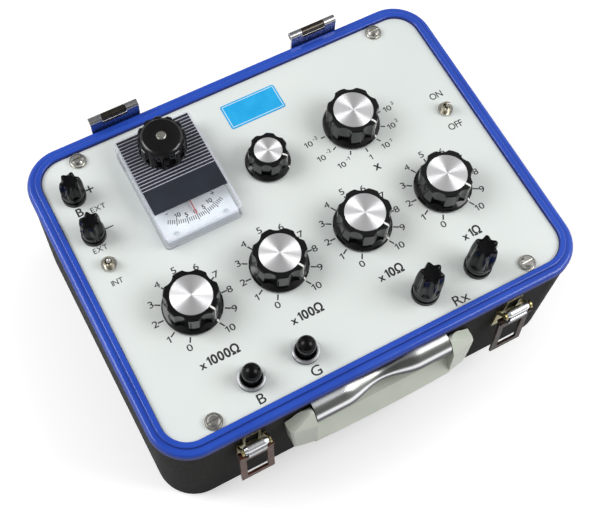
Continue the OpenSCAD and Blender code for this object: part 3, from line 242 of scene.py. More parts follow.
def spun_disc():
    """Turned aluminium: fine rings, and gloss stretched across them."""
    made = Finish("cap_spun_aluminium", Metallic=0.8, Anisotropic=1.0, Anisotropic_Rotation=0.25)
    centred = made.coords("Generated", shift=(-0.5, -0.5, 0.0))
    wave = made.add("TexWave", {"Vector": centred, "Scale": 14.0, "Distortion": 0.6,
                                "Detail Scale": 0.4}, wave_type="RINGS", rings_direction="Z")
    rings = wave.outputs["Fac"]
    made.feed(made.ramp(rings, (0.2, linear(238, 238, 240)), (0.8, linear(250, 250, 251))),
              "Base Color")
    made.feed(made.levels(rings, 0.36, 0.44, start=0.0, end=1.0), "Roughness")
    turned = made.add("Tangent", direction_type="RADIAL", axis="Z")
    made.feed(turned.outputs["Tangent"], "Tangent")
    made.feed(made.bump(rings, depth=0.000004), "Normal")
    return made


def ribbed_mask():
    """Charcoal moulding whose grooves are filled with silver."""
    made = Finish("mask_charcoal", Specular_IOR_Level=0.45)
    low = made.calc("LESS_THAN", made.place()["Z"], GROOVE_Z * MM)
    level = made.calc("GREATER_THAN", made.upward(), 0.5)
    groove = made.calc("MULTIPLY", low, level)
    ground = made.drift(0.01, dark=(23, 28, 38), light=(30, 37, 49))
    made.feed(made.blend(groove, ground, linear(206, 206, 218)), "Base Color")
    made.grain(made.noise(0.0006), rough=(0.38, 0.52), depth=0.00002)
    return made


def clear_moulding():
    """Clear moulded plastic: thin on its face, with a painted reflection that makes it whiter and
    cloudier along its rounded edges and on its walls, over a faint haze.
    """
    made = Finish("cover_clear", IOR=1.49)
    spot = made.place(shift=(-COVER_AT[0] * MM, -COVER_AT[1] * MM, 0.0))
    edges = []
    for axis, flat in zip("XY", COVER_FLAT):
        aside = made.calc("ABSOLUTE", spot[axis])
        edges.append(made.levels(aside, 0.0, 1.0, flat * MM, (flat + COVER_EDGE) * MM))
    border = made.calc("MAXIMUM", *edges)
    # Painted reflection: the border is whiter than the face.
    made.feed(made.blend(border, linear(244, 246, 252), linear(234, 234, 248)), "Base Color")
    cloud = made.levels(made.noise(0.012, detail=3.0), 0.0, 0.02)
    haze_and_border_reflection = made.calc("ADD", cloud, made.calc("MULTIPLY", border, 0.3))
    # Painted reflection: the walls are whiter and less clear than the level face.
    wall_painted_reflection = made.ramp(made.upward(), (0.04, grey(0.0)), (0.12, grey(0.35)), (0.93, grey(0.35)),
                     (0.99, grey(0.03)))
    made.feed(made.calc("ADD", wall_painted_reflection, haze_and_border_reflection), "Alpha")
    made.feed(made.levels(made.noise(0.004), 0.05, 0.10), "Roughness")
    return made


def yellow_zinc():
    """Passivated zinc plate: straw, green and pink drift over fine brushing."""
    made = Finish("latch_yellow_zinc", Metallic=1.0)
    tint = made.ramp(made.noise(0.006, detail=5.0),
                     (0.30, linear(158, 138, 88)), (0.48, linear(172, 162, 116)),
                     (0.60, linear(154, 156, 126)), (0.72, linear(168, 132, 106)))
    made.feed(tint, "Base Color")
    brushed = made.noise(0.0006, detail=3.0, stretch=(1.0, 1.0, 0.08))
    made.grain(brushed, rough=(0.26, 0.44), depth=0.00002)
    return made


def strap_chrome():
    """Chromed strap with painted reflections by how far each face looks up: grey on its upper
    faces, bright lines on top and at its middle, and painted shade along its lower edge.
    """
    made = Finish("strap_chrome", Metallic=1.0)
    # Painted reflection and shade: colour set by how far each face looks up, not by the metal.
    painted_reflection_bands = made.ramp(made.upward(), (0.10, linear(38, 38, 44)), (0.30, linear(74, 74, 80)),
                      (0.44, linear(206, 207, 210)), (0.56, linear(236, 236, 238)),
                      (0.68, linear(150, 152, 150)), (0.90, linear(136, 138, 134)),
                      (0.99, linear(226, 228, 230)))
    made.feed(painted_reflection_bands, "Base Color")
    worn = made.noise(0.004, detail=3.0, stretch=(0.2, 1.0, 1.0))
    made.grain(worn, rough=(0.24, 0.34), depth=0.00001)
    return made


def bright_plate():
    """Bright plated steel with painted shade that darkens its upright walls."""
    made = Finish("bright_plated", Metallic=1.0)
    # Painted shade: upright walls darker than level faces.
    shade = made.ramp(made.upward(), (0.10, linear(96, 98, 106)), (0.45, linear(238, 239, 241)))
    made.feed(shade, "Base Color")
    made.grain(made.noise(0.0008, detail=3.0), rough=(0.26, 0.38), depth=0.000008)
    return made


def cell_sleeve():
    """Shrunk sleeve on a dry cell, with bare metal at its two ends."""
    made = Finish("cell_sleeve")
    aside = made.calc("ABSOLUTE", made.calc("SUBTRACT", made.place()["Y"], CELL_Y * MM))
    ends = made.calc("GREATER_THAN", aside, CELL_SLEEVE * MM)
    ground = made.drift(0.02, dark=(128, 34, 30), light=(150, 44, 36))
    made.feed(made.blend(ends, ground, linear(190, 190, 186)), "Base Color")
    made.feed(ends, "Metallic")
    made.grain(made.noise(0.002), rough=(0.25, 0.4), depth=0.00003)
    return made


# The finish of each slot in the record.
FINISHES = {
    "case_paint": powder_coat(),
    "rim_paint": enamel(),
    "panel_paint": panel_paint(),
    "steel": plain("steel_plated", light=(214, 212, 206), dark=(180, 178, 172), patch=0.004,
                   rough=(0.18, 0.34), grain=0.0007, depth=0.00002, Metallic=1.0),
    "chrome": plain("chrome_plate", light=(232, 233, 235), dark=(214, 215, 218), patch=0.02,
                    rough=(0.12, 0.2), grain=0.003, depth=0.000006, Metallic=1.0),
    "zinc": yellow_zinc(),
    "brown_steel": plain("loop_oxidised", light=(98, 58, 42), dark=(58, 34, 25), patch=0.004,
                         rough=(0.30, 0.5), grain=0.0008, depth=0.00004, Metallic=0.2,
                         Specular_IOR_Level=0.15),
    "cream": plain("grip_cream", light=(218, 223, 210), dark=(205, 211, 198), patch=0.03,
                   rough=(0.28, 0.42), grain=0.0012, depth=0.00004),
    "black": plain("black_moulding", light=(7, 7, 8), dark=(4, 4, 5), patch=0.008,
                   rough=(0.07, 0.13), grain=0.0016, depth=0.000004, Specular_IOR_Level=0.5),
    "aluminium": spun_disc(),
    "clear": clear_moulding(),
    "mask": ribbed_mask(),
    "scale": plain("scale_enamel", light=(238, 244, 249), dark=(230, 238, 246), patch=0.012,
                   rough=(0.45, 0.6), grain=0.0008, depth=0.00001),
    "needle": plain("needle_red", light=(206, 84, 92), dark=(186, 66, 78), patch=0.004,
                    rough=(0.3, 0.45), grain=0.0006, depth=0.00001),
    "housing": plain("housing_moulded", light=(212, 218, 224), dark=(200, 207, 214), patch=0.015,
                     rough=(0.4, 0.55), grain=0.001, depth=0.00003),
    "brass": plain("brass_nickelled", light=(218, 212, 196), dark=(196, 188, 168), patch=0.003,
                   rough=(0.2, 0.34), grain=0.0007, depth=0.00002, Metallic=1.0),
    "phenolic": plain("phenolic_laminate", light=(124, 78, 44), dark=(96, 58, 32), patch=0.006,
                      rough=(0.45, 0.62), grain=0.0012, depth=0.00005, stretch=(0.15, 1.0, 1.0)),
    "cells": cell_sleeve(),
}

# Finishes of single pieces and nodes.
PRINT_INK = plain("print_ink", light=(34, 34, 38), dark=(24, 24, 28), patch=0.003,
                  rough=(0.45, 0.6), grain=0.0005, depth=0.000006)
POINTER_WHITE = plain("pointer_white", light=(236, 236, 232), dark=(222, 222, 218), patch=0.002,
                      rough=(0.4, 0.55), grain=0.0005, depth=0.00001)
PLATE_CYAN = plain("plate_cyan", light=(36, 172, 230), dark=(22, 160, 222), patch=0.008,
                   rough=(0.25, 0.4), grain=0.0009, depth=0.00001)
PLATE_LINE = plain("plate_line", light=(226, 240, 246), dark=(212, 232, 240), patch=0.004,
                   rough=(0.35, 0.5), grain=0.0007, depth=0.00001)
HINGE_STEEL = plain("hinge_steel", light=(190, 190, 192), dark=(168, 168, 171), patch=0.012,
                    rough=(0.22, 0.30), grain=0.002, depth=0.000004, Metallic=1.0)
HINGE_PIN = plain("hinge_pin_steel", light=(98, 92, 84), dark=(74, 69, 63), patch=0.006,
                  rough=(0.17, 0.23), grain=0.002, depth=0.000004, Metallic=1.0)
# The right loop's oxidised brown, darkened as painted shade for the shade it hangs in.
LOOP_PAINTED_SHADE = plain("loop_oxidised_painted_shade", light=(58, 38, 30), dark=(32, 21, 17), patch=0.004,
                  rough=(0.3, 0.5), grain=0.0008, depth=0.00004, Metallic=0.2,
                  Specular_IOR_Level=0.15)
BLACK_GLOSS = plain("black_gloss", light=(7, 7, 8), dark=(4, 4, 5), patch=0.008,
                    rough=(0.05, 0.1), grain=0.0016, depth=0.000004, Coat_Weight=0.2,
                    Coat_Roughness=0.04)
BLACK_SATIN = plain("black_satin", light=(10, 10, 12), dark=(6, 6, 8), patch=0.006,
                    rough=(0.12, 0.2), grain=0.0012, depth=0.000006, Specular_IOR_Level=0.16)
BRIGHT = bright_plate()
NODE_FINISHES = {
    "hinge_leaves": HINGE_STEEL, "hinge_pins": HINGE_PIN, "handle_strap": strap_chrome(),
    "button_collars": BRIGHT, "latch_lever_left": BRIGHT, "latch_lever_right": BRIGHT,
    "latch_loop_right": LOOP_PAINTED_SHADE, "button_cap_b": BLACK_SATIN, "button_cap_g": BLACK_SATIN,
    "post_bases": BLACK_SATIN,
}

for name, node in NODES.items():
    slot = node.data.materials[0].name.split(".")[0]
    made = NODE_FINISHES.get(name, FINISHES[slot])
    node.material_slots[0].material = made.material


# ------------------------------------------------------------------- meshes

WELD = 1e-5                         # points nearer to each other than this become one


def around(count):
    """That many even steps round a circle, in radians."""
    return [math.tau * i / count for i in range(count)]


def polar(centre, radius, angle):
    """The x and y at a radius and an angle, in radians, from a centre."""
    return centre[0] + radius * math.cos(angle), centre[1] + radius * math.sin(angle)


def tube(shape, rows):
    """A closed body through rows of as many points each; gives the face on its last row."""
    rows = [[shape.verts.new(point) for point in row] for row in rows]
    count = len(rows[0])
    for first, second in zip(rows, rows[1:]):
        for i in range(count):
            j = (i + 1) % count
            shape.faces.new((first[i], first[j], second[j], second[i]))
    shape.faces.new(rows[0][::-1])
    return shape.faces.new(rows[-1])


def prism(shape, outline, low, high):
    """A closed prism on an outline of x, y points, between two heights; gives its top face."""
    return tube(shape, [[(x, y, z) for x, y in outline] for z in (low, high)])


def mesh_of(name, shape):
    """Turns a bmesh into a mesh."""
    mesh = bpy.data.meshes.new(name)
    shape.to_mesh(mesh)
    shape.free()
    return mesh


def piece(name, shape, body, *finishes, slot=None, smooth=0):
    """Turns a bmesh in mm into an object that rides on a body.

    Edges flatter than smooth, in degrees, are rounded over.
    """
    bmesh.ops.remove_doubles(shape, verts=shape.verts, dist=WELD)
    bmesh.ops.recalc_face_normals(shape, faces=shape.faces)
    bmesh.ops.scale(shape, vec=(MM, MM, MM), verts=shape.verts)
    mesh = mesh_of(name, shape)
    for made in finishes:
        mesh.materials.append(made.material)
    if smooth:
        for face in mesh.polygons:
            face.use_smooth = True
        mesh.set_sharp_from_angle(angle=math.radians(smooth))
    item = bpy.data.objects.new(name, mesh)
    bpy.context.collection.objects.link(item)
    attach(item, body)
    return item


# ----------------------------------------------------------------- printing

PROUD, SUNK = 0.03, 0.05            # how far printing goes over and into its surface

# Signs at size 1.
FONT_CAP = 0.682                    # capital height of the built-in font
SIGN_HALF = 0.01                    # half the thickness of a sign's mesh
ONE_STEM = 0.045                    # half the width of the stem of a 1
ONE_TOP = 0.6                       # how far its flat top goes left, for half a stem
ONE_FLAG = (-0.2, 0.43, 0.53)       # tip of its flag: x, and its low and high y
LEAD_SIZE = 0.8                     # size of the sign before a factor

# Ticks: inner radius, outer radius and width.
DECADE_TICK = (18.4, 21.9, 0.85)
MULTIPLIER_TICK = (18.4, 21.2, 0.8)
METER_LONG_TICK = (34.4, 39.2, 0.5)
METER_SHORT_TICK = (35.4, 38.1, 0.5)

DECADE_START, DECADE_STEP = 240, 30     # angle of the 0, and from each number to the next
DECADE_LAST = 10
DECADE_NUMBER_R = 23.6
DECADE_NUMBER_RISE = 1.65           # more radius for a number above or below its dial
DECADE_LAST_ASIDE = 0.8
FACTORS = {"x1000Ω": -83.4, "x100Ω": -27.4, "x10Ω": 28.4, "x1Ω": 84.2}     # text and x
FACTORS_Y = -58.6
MULTIPLIER_TURNS = range(180, 361, 30)  # angles of its ticks
# Powers of ten round the multiplier dial: power, place of the 10 and place of the power.
POWERS = (("-3", (26.6, 37.9), (32.0, 40.0)), ("-2", (29.1, 25.8), (35.1, 28.4)),
          ("-1", (37.9, 16.1), (43.1, 18.4)), ("1", (68.7, 15.9), (73.2, 17.6)),
          ("2", (78.8, 26.2), (83.4, 28.4)), ("3", (82.7, 38.1), (87.3, 40.3)))
# Words and signs: text, place, capital height, width for the font's 1, thickening and gap.
PANEL_WORDS = (
    ("1", (56.5, 12.8), 3.6, 1.2, 0.03, 0.1), ("x", (56.6, 5.2), 5.4, 0.92, 0.2, 0.1),
    ("B", (-73.7, -91.4), 6.0, 1.1, 0.05, 0.06), ("G", (-39.0, -91.4), 6.0, 1.1, 0.05, 0.06),
    ("Rx", (56.5, -92.0), 6.0, 1.1, 0.05, -0.04), ("ON", (115.0, 32.6), 4.4, 0.92, 0.05, 0.06),
    ("OFF", (114.8, 8.6), 4.4, 0.92, 0.05, 0.06), ("EXT", (-114.9, 32.2), 3.3, 1.0, 0.03, 0.06),
    ("INT", (-114.8, 8.9), 3.3, 1.0, 0.03, 0.06), ("EXT", (-105.1, 57.2), 3.3, 1.05, 0.03, 0.06),
    ("+", (-104.5, 70.8), 7.0, 1.0, 0.05, 0.06), ("B", (-115.9, 59.3), 5.4, 1.0, 0.15, 0.06),
)
MINUS_AT, MINUS_BAR = (-104.5, 42.6), (-2.6, 2.6, 0.7)
METER_SPREAD, METER_STEP = 28, 2    # reach of the meter's ticks to each side, and their spacing
METER_LONG_STEP = 10                # spacing of the long ones
# Numbers on the meter: text, angle from the middle and radius.
METER_NUMBERS = (("0", 0.0, 33.2), ("5", -9.5, 33.3), ("5", 9.5, 33.3),
                 ("10", -18.5, 32.4), ("10", 18.5, 32.4))
METER_SIGNS = (("-", (-71.8, 32.2)), ("+", (-41.8, 32.5)))


def bar(shape, centre, angle, near, far, width, surface):
    """A printed bar that points away from a centre, at an angle in radians."""
    along = Vector((math.cos(angle), math.sin(angle)))
    across = Vector((-along.y, along.x)) * width / 2
    middle = Vector(centre)
    corners = [middle + along * near - across, middle + along * far - across,
               middle + along * far + across, middle + along * near + across]
    prism(shape, corners, surface - SUNK, surface + PROUD)


def glyph(sign, bold):
    """One sign of the built-in font at size 1; the offset that thickens it would close up a 4."""
    curve = bpy.data.curves.new("sign", "FONT")
    curve.body = sign
    curve.resolution_u = 4
    curve.offset = 0.0 if sign == "4" else bold
    curve.extrude = SIGN_HALF
    holder = bpy.data.objects.new("sign", curve)
    bpy.context.collection.objects.link(holder)
    mesh = bpy.data.meshes.new_from_object(holder)
    bpy.data.objects.remove(holder)
    bpy.data.curves.remove(curve)
    return mesh


def figure_one(bold):
    """A 1 with a flag at size 1; the font's own is a bare stroke."""
    stem = ONE_STEM + bold
    tip, low, high = ONE_FLAG
    outline = [(stem, 0.0), (stem, FONT_CAP), (-ONE_TOP * stem, FONT_CAP), (tip, high), (tip, low),
               (-stem, high), (-stem, 0.0)]
    shape = bmesh.new()
    prism(shape, outline, -SIGN_HALF, SIGN_HALF)
    return mesh_of("one", shape)


def letters(shape, text, at, surface, cap, stretch=1.0, bold=0.0, gap=0.1, lead=0.0):
    """Printed text with its ink centred on a place and capitals cap mm high; gap is for size 1.

    With a lead, the first sign is smaller and has that much more room after it.
    """
    size = cap / FONT_CAP
    signs, pen = [], 0.0
    for place, sign in enumerate(text):
        mesh = figure_one(bold / size) if sign == "1" else glyph(sign, bold / size)
        if lead and place == 0:
            for vertex in mesh.vertices:
                vertex.co.xy *= LEAD_SIZE
        low, high = (pick(v.co.x for v in mesh.vertices) for pick in (min, max))
        signs.append((mesh, pen - low))
        pen += high - low + gap + (lead if place == 0 else 0.0)
    heights = [v.co.y for mesh, _ in signs for v in mesh.vertices]
    middle_x, middle_y = (pen - gap) / 2, (min(heights) + max(heights)) / 2
    for mesh, start in signs:
        for vertex in mesh.vertices:
            point = vertex.co
            vertex.co = (at[0] + (point.x + start - middle_x) * size * stretch,
                         at[1] + (point.y - middle_y) * size,
                         surface + PROUD if point.z > 0 else surface - SUNK)
        shape.from_mesh(mesh)
        bpy.data.meshes.remove(mesh)


def panel_printing():
    """Scales, numbers and signs printed on the panel."""
    shape = bmesh.new()
    for centre in DECADES.values():
        for step in range(DECADE_LAST + 1):
            angle = math.radians(DECADE_START - DECADE_STEP * step)
            bar(shape, centre, angle, *DECADE_TICK, PANEL_Z)
            reach = DECADE_NUMBER_R + DECADE_NUMBER_RISE * math.sin(angle) ** 2
            x, y = polar(centre, reach, angle)
            if step == DECADE_LAST:
                x += DECADE_LAST_ASIDE
            letters(shape, str(step), (x, y), PANEL_Z, cap=4.0, stretch=1.25, bold=0.04)
    for text, x in FACTORS.items():
        letters(shape, text, (x, FACTORS_Y), PANEL_Z, cap=5.4, stretch=0.92, bold=0.26, gap=0.05,
                lead=0.13)
    for turn in MULTIPLIER_TURNS:
        bar(shape, MULTIPLIER, math.radians(turn), *MULTIPLIER_TICK, PANEL_Z)
    for power, ten_at, power_at in POWERS:
        letters(shape, "10", ten_at, PANEL_Z, cap=3.6, stretch=1.25, bold=0.03)
        letters(shape, power, power_at, PANEL_Z, cap=2.4, stretch=1.2, bold=0.02)
    for text, at, cap, stretch, bold, gap in PANEL_WORDS:
        letters(shape, text, at, PANEL_Z, cap, stretch, bold, gap)
    bar(shape, MINUS_AT, 0.0, *MINUS_BAR, PANEL_Z)
    piece("panel_printing", shape, "case", PRINT_INK)


def meter_printing():
    """Arc of ticks and numbers on the meter's scale plate."""
    shape = bmesh.new()
    for degrees in range(-METER_SPREAD, METER_SPREAD + 1, METER_STEP):
        tick = METER_SHORT_TICK if degrees % METER_LONG_STEP else METER_LONG_TICK
        bar(shape, METER_PIVOT, math.radians(degrees - 90), *tick, SCALE_Z)
    for text, degrees, reach in METER_NUMBERS:
        at = polar(METER_PIVOT, reach, math.radians(degrees - 90))
        letters(shape, text, at, SCALE_Z, cap=2.7, stretch=1.1, bold=0.09)
    for text, at in METER_SIGNS:
        letters(shape, text, at, SCALE_Z, cap=4.0)
    piece("meter_printing", shape, "case", PRINT_INK)


# ------------------------------------------------------------- small pieces

SCREWS_AT = ((-72.1, 18.2), (-39.9, 18.2))
SCREW_R, SCREW_H = 1.5, 0.45
SCREW_STEPS = 24
SCREW_HALF = (1.323, 1.1)           # reach of each half of the head along the slot and across it
SCREW_SLOT = 0.25                   # half width of the slot
SCREW_HALF_Z = (0.4, 0.8)           # foot and top of the halves over the scale plate

# Way of a pointer over its knob: radius, height over the panel and width.
LARGE_PATH = ((12.5, 18.25, 1.2), (15.2, 18.25, 1.2), (15.45, 18.2, 1.2), (15.98, 17.65, 0.8),
              (16.0, 16.9, 0.6), (16.0, 3.6, 0.6), (16.25, 3.2, 0.8), (17.0, 3.2, 1.2),
              (17.8, 2.4, 1.2), (17.8, 1.0, 1.2))
SMALL_PATH = ((8.8, 15.95, 1.0), (11.2, 15.95, 1.0), (11.45, 15.9, 1.0), (11.98, 15.35, 0.7),
              (12.0, 14.6, 0.5), (12.0, 3.6, 0.5), (12.25, 3.2, 0.8), (13.2, 3.2, 1.0),
              (14.0, 2.4, 1.0), (14.0, 1.0, 1.0))
POINTER_SUNK, POINTER_PROUD = 0.1, 0.06
LARGE_POINTS, SMALL_POINTS = -60, -45   # where a large and a small knob point at rest

GRIP_STEPS = 240                    # points round a knob or a post's cap
LOBES = 12
HOLLOW_AT, HOLLOW_R = 15.3, 2.5     # centre radius and radius of the hollows between the lobes
# The zero knob from its foot to the middle of its top: radius, height, and whether it is lobed.
ZERO_ROWS = ((14.3, 0.0, False), (14.6, 0.4, False), (14.6, 1.3, False), (14.3, 1.6, False),
             (14.2, 1.6, True), (14.5, 11.8, True), (14.3, 12.4, True), (13.8, 12.7, True),
             (12.4, 12.75, False), (12.15, 13.0, False), (11.8, 13.3, False),
             (11.4, 13.52, False), (11.0, 13.65, False), (10.6, 13.7, False),
             (9.9, 13.6, False), (3.4, 13.9, False))

FLUTES = 6
FLUTE_POWER = 1.1                   # narrows the ridges between the flutes
# A post's cap, for a radius and a height of 1: radius, height and depth of the flutes.
POST_ROWS = ((0.92, 0.0, 0.0), (0.95, 0.02, 0.0), (0.95, 0.14, 0.0), (0.93, 0.16, 0.0),
             (0.98, 0.19, 0.0), (1.0, 0.25, 0.02), (1.0, 0.3, 0.1), (1.0, 0.36, 0.17),
             (1.0, 0.48, 0.21), (0.99, 0.62, 0.24), (0.95, 0.8, 0.26), (0.89, 0.94, 0.27),
             (0.86, 0.99, 0.27), (0.82, 1.0, 0.27), (0.62, 0.96, 0.22), (0.25, 0.95, 0.0))
POST_TURNS = {"plus": 56.0, "minus": 26.0, "rx_left": 78.0, "rx_right": 56.0}

SPRING_WIRE, SPRING_TURNS = 0.9, 5.5
SPRING_STEPS, WIRE_STEPS = 40, 12   # rows to a turn, and points round the wire

# Pieces on a hinge, from the middle of its leaf.
SLEEVE_ROWS = ((-7.8, 2.2), (-7.5, 2.5), (7.5, 2.5), (7.8, 2.2))    # x and radius
SLEEVE_STEPS = 40
RIVETS_AT = ((-9.5, 86.0), (9.5, 86.0), (0.0, 75.0))                # x, and z over the base
RIVET_ROWS = ((2.3, -0.1), (2.3, 0.1), (2.1, 0.5), (1.6, 0.9), (0.9, 1.15), (0.3, 1.2))
RIVET_STEPS = 32

PLATE_LOW, PLATE_HIGH = Vector((-10.0, 68.4)), Vector((27.2, 86.2))
PLATE_CORNER, PLATE_T = 1.4, 0.35
PLATE_STEPS = 6                     # sides of each rounded corner
# Rings from the plate's edge inwards: width, rise, and 1 for the border line.
PLATE_RINGS = ((0.25, 0.12, 0), (0.9, 0.0, 0), (0.4, 0.0, 1), (0.05, 0.0, 0))


def slotted_screws():
    """Two small slotted screws that hold the scale plate."""
    shape = bmesh.new()
    for x, y in SCREWS_AT:
        ring = [polar((x, y), SCREW_R, t) for t in around(SCREW_STEPS)]
        prism(shape, ring, SCALE_Z - SUNK, SCALE_Z + SCREW_H)
        for side in (1, -1):
            half = [(x + SCREW_HALF[0] * math.cos(t),
                     y + side * (SCREW_SLOT + SCREW_HALF[1] * math.sin(t)))
                    for t in around(SCREW_STEPS)[:SCREW_STEPS // 2 + 1]]
            prism(shape, half[::side], *(SCALE_Z + z for z in SCREW_HALF_Z))
    piece("scale_screws", shape, "case", FINISHES["housing"], slot="housing")


def pointer(name, body, centre, degrees, path):
    """A white line laid over a knob, along a path."""
    angle = math.radians(degrees)
    along = Vector((math.cos(angle), math.sin(angle), 0.0))
    across = Vector((-along.y, along.x, 0.0))
    foot = Vector((centre[0], centre[1], PANEL_Z))
    rows = []
    for i, (radius, height, width) in enumerate(path):
        before, after = path[max(i - 1, 0)], path[min(i + 1, len(path) - 1)]
        run, drop = after[0] - before[0], after[1] - before[1]
        out = (along * -drop + Vector((0.0, 0.0, run))).normalized()
        spot = foot + along * radius + Vector((0.0, 0.0, height))
        rows.append([spot + across * side * width / 2 + out * lift
                     for side, lift in ((-1, -POINTER_SUNK), (1, -POINTER_SUNK),
                                        (1, POINTER_PROUD), (-1, POINTER_PROUD))])
    shape = bmesh.new()
    tube(shape, rows)
    piece(name, shape, body, POINTER_WHITE)


def zero_moulding():
    """The zero knob: lobes up to its top edge, a ridge inside them and a shallow dish."""
    spacing = math.tau / LOBES
    rows = []
    for radius, height, lobed in ZERO_ROWS:
        row = []
        for turn in around(GRIP_STEPS):
            aside = (turn + spacing / 2) % spacing - spacing / 2
            reach = HOLLOW_R ** 2 - (HOLLOW_AT * math.sin(aside)) ** 2
            hollow = HOLLOW_AT * math.cos(aside) - math.sqrt(max(reach, 0.0))
            cut = min(radius, hollow) if lobed and reach > 0 else radius
            row.append((*polar(ZERO_AT, cut, turn), ZERO_AT[2] + height))
        rows.append(row)
    shape = bmesh.new()
    tube(shape, rows)
    made = piece("zero_moulding", shape, "zero_adjuster", BLACK_GLOSS, slot="black", smooth=26)
    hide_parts("zero_knob")


def post_grip(name, turn):
    """A binding post's cap with wide flutes that run out of a crown-shaped top into its foot."""
    low, high = (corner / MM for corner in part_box("post_cap_" + name))
    middle, size, tall = (low + high) / 2, (high.x - low.x) / 2, high.z - low.z
    rows = []
    for radius, height, depth in POST_ROWS:
        row = []
        for angle in around(GRIP_STEPS):
            wave = math.cos(FLUTES * (angle - math.radians(turn)))
            ridge = (0.5 + 0.5 * wave) ** FLUTE_POWER
            reach = size * radius * (1 - depth * (1 - ridge))
            row.append((*polar(middle, reach, angle), low.z + tall * height))
        rows.append(row)
    shape = bmesh.new()
    tube(shape, rows)
    made = piece("post_grip_" + name, shape, "post_" + name, BLACK_SATIN, slot="black", smooth=13)
    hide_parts("post_cap_" + name)


def return_spring(name):
    """A button's coil spring."""
    low, high = (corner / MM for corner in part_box("button_spring_" + name))
    middle, tall, wire = (low + high) / 2, high.z - low.z, SPRING_WIRE / 2
    radius = (high.x - low.x) / 2 - wire
    count = SPRING_TURNS * SPRING_STEPS
    rows = []
    for i in range(round(count) + 1):
        angle = math.tau * i / SPRING_STEPS
        rise = low.z + wire + (tall - SPRING_WIRE) * i / count
        rows.append([(*polar(middle, radius + wire * math.cos(t), angle), rise + wire * math.sin(t))
                     for t in around(WIRE_STEPS)])
    shape = bmesh.new()
    tube(shape, rows)
    made = piece("return_spring_" + name, shape, "case", FINISHES["steel"], slot="steel", smooth=40)
    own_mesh(made)
    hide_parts("button_spring_" + name)


def hinge_sleeves():
    """Dark sleeves on the hinge pins, between the knuckles."""
    shape = bmesh.new()
    for middle in HINGE_X:
        tube(shape, [[(middle + x, *polar(HINGE_AXIS, radius, t)) for t in around(SLEEVE_STEPS)]
                     for x, radius in SLEEVE_ROWS])
    piece("hinge_sleeves", shape, "case", HINGE_PIN, slot="steel", smooth=30)


def hinge_rivets():
    """Domed rivet heads on the hinge leaves, two over one."""
    shape = bmesh.new()
    for middle in HINGE_X:
        for x, z in RIVETS_AT:
            rows = []
            for radius, height in RIVET_ROWS:
                ring = [polar((middle + x, z), radius, t) for t in around(RIVET_STEPS)]
                rows.append([(a, LEAF_FACE_Y + height, b) for a, b in ring])
            tube(shape, rows)
    piece("hinge_rivets", shape, "case", HINGE_STEEL, slot="steel", smooth=40)


def label_plate():
    """Blank plate with a fine border line."""
    shape = bmesh.new()
    inset = Vector((PLATE_CORNER, PLATE_CORNER))
    low, high = PLATE_LOW + inset, PLATE_HIGH - inset
    outline = []
    for x, y, start in ((high.x, high.y, 0), (low.x, high.y, 90),
                        (low.x, low.y, 180), (high.x, low.y, 270)):
        outline += [polar((x, y), PLATE_CORNER, math.radians(start + 90 * i / PLATE_STEPS))
                    for i in range(PLATE_STEPS + 1)]
    top = prism(shape, outline, PANEL_Z - SUNK, PANEL_Z + PLATE_T)
    for width, rise, line in PLATE_RINGS:
        ring = bmesh.ops.inset_region(shape, faces=[top], thickness=width, depth=rise)["faces"]
        for face in ring:
            face.material_index = line
    piece("label_plate", shape, "case", PLATE_CYAN, PLATE_LINE)


panel_printing()
meter_printing()
slotted_screws()
zero_moulding()
for name, turn in POST_TURNS.items():
    post_grip(name, turn)
for name in ("b", "g"):
    return_spring(name)
hinge_sleeves()
hinge_rivets()
label_plate()
for name, centre in DECADES.items():
    pointer("pointer_" + name, "dial_" + name, centre, LARGE_POINTS, LARGE_PATH)
pointer("pointer_multiplier", "dial_multiplier", MULTIPLIER, LARGE_POINTS, LARGE_PATH)
pointer("pointer_sensitivity", "dial_sensitivity", SENSITIVITY, SMALL_POINTS, SMALL_PATH)


# -------------------------------------------------- floor, lights and camera

FLOOR_R = 12.0                      # m
FLOOR_STEPS = 64
FLOOR_BOUNCE = 0.22                 # grey of the floor for the light that it throws back
FLOOR_GLOW = 0.25

TARGET = Vector((-14.34, -23.57, 93.0)) * MM
VIEW_TURN, VIEW_RISE, VIEW_ROLL = -33.448, 65.82, 5.537
VIEW_DISTANCE = 658.83
LENS, SENSOR = 68.004, 36.0
NEAR_CLIP = 0.01                    # m

ASIDE = Vector((0.834, -0.551, 0.0))    # level, to the right of the view
LAMP_AWAY = 0.64                    # m, aside of the target and over it
LAMP_SIZE = 0.5                     # m
LAMP_POWER = 4.1                    # W
SKY_LOBES = ((0.95, -0.15, 0.3), (-0.83, 0.5, 0.3))     # directions that the fill comes from
SKY_STOPS = ((0.35, 0.2), (0.7, 0.55), (0.95, 1.0))     # cosine to the nearest one, and level


def floor():
    """A wide pale floor that looks near white, in metal too, and keeps the shadow."""
    shape = bmesh.new()
    rim = [shape.verts.new((*polar((0.0, 0.0), FLOOR_R, t), 0.0)) for t in around(FLOOR_STEPS)]
    shape.faces.new(rim)
    mesh = mesh_of("floor", shape)
    item = bpy.data.objects.new("floor", mesh)
    bpy.context.collection.objects.link(item)
    made = Finish("floor_pale", Base_Color=grey(FLOOR_BOUNCE), Roughness=0.9,
                  Specular_IOR_Level=0.0)
    pale = made.add("BsdfDiffuse", {"Color": grey(1.0)})
    glow = made.add("Emission", {"Strength": FLOOR_GLOW})
    lifted = made.add("AddShader", {0: pale.outputs["BSDF"], 1: glow.outputs["Emission"]})
    rays = made.add("LightPath").outputs
    mirrored = made.calc("MAXIMUM", rays["Is Glossy Ray"], rays["Is Transmission Ray"])
    seen = made.calc("MAXIMUM", rays["Is Camera Ray"], mirrored)
    both = made.add("MixShader", {"Fac": seen, 1: made.shader.outputs["BSDF"],
                                  2: lifted.outputs["Shader"]})
    surface = made.tree.nodes["Material Output"].inputs["Surface"]
    made.tree.links.new(both.outputs["Shader"], surface)
    mesh.materials.append(made.material)


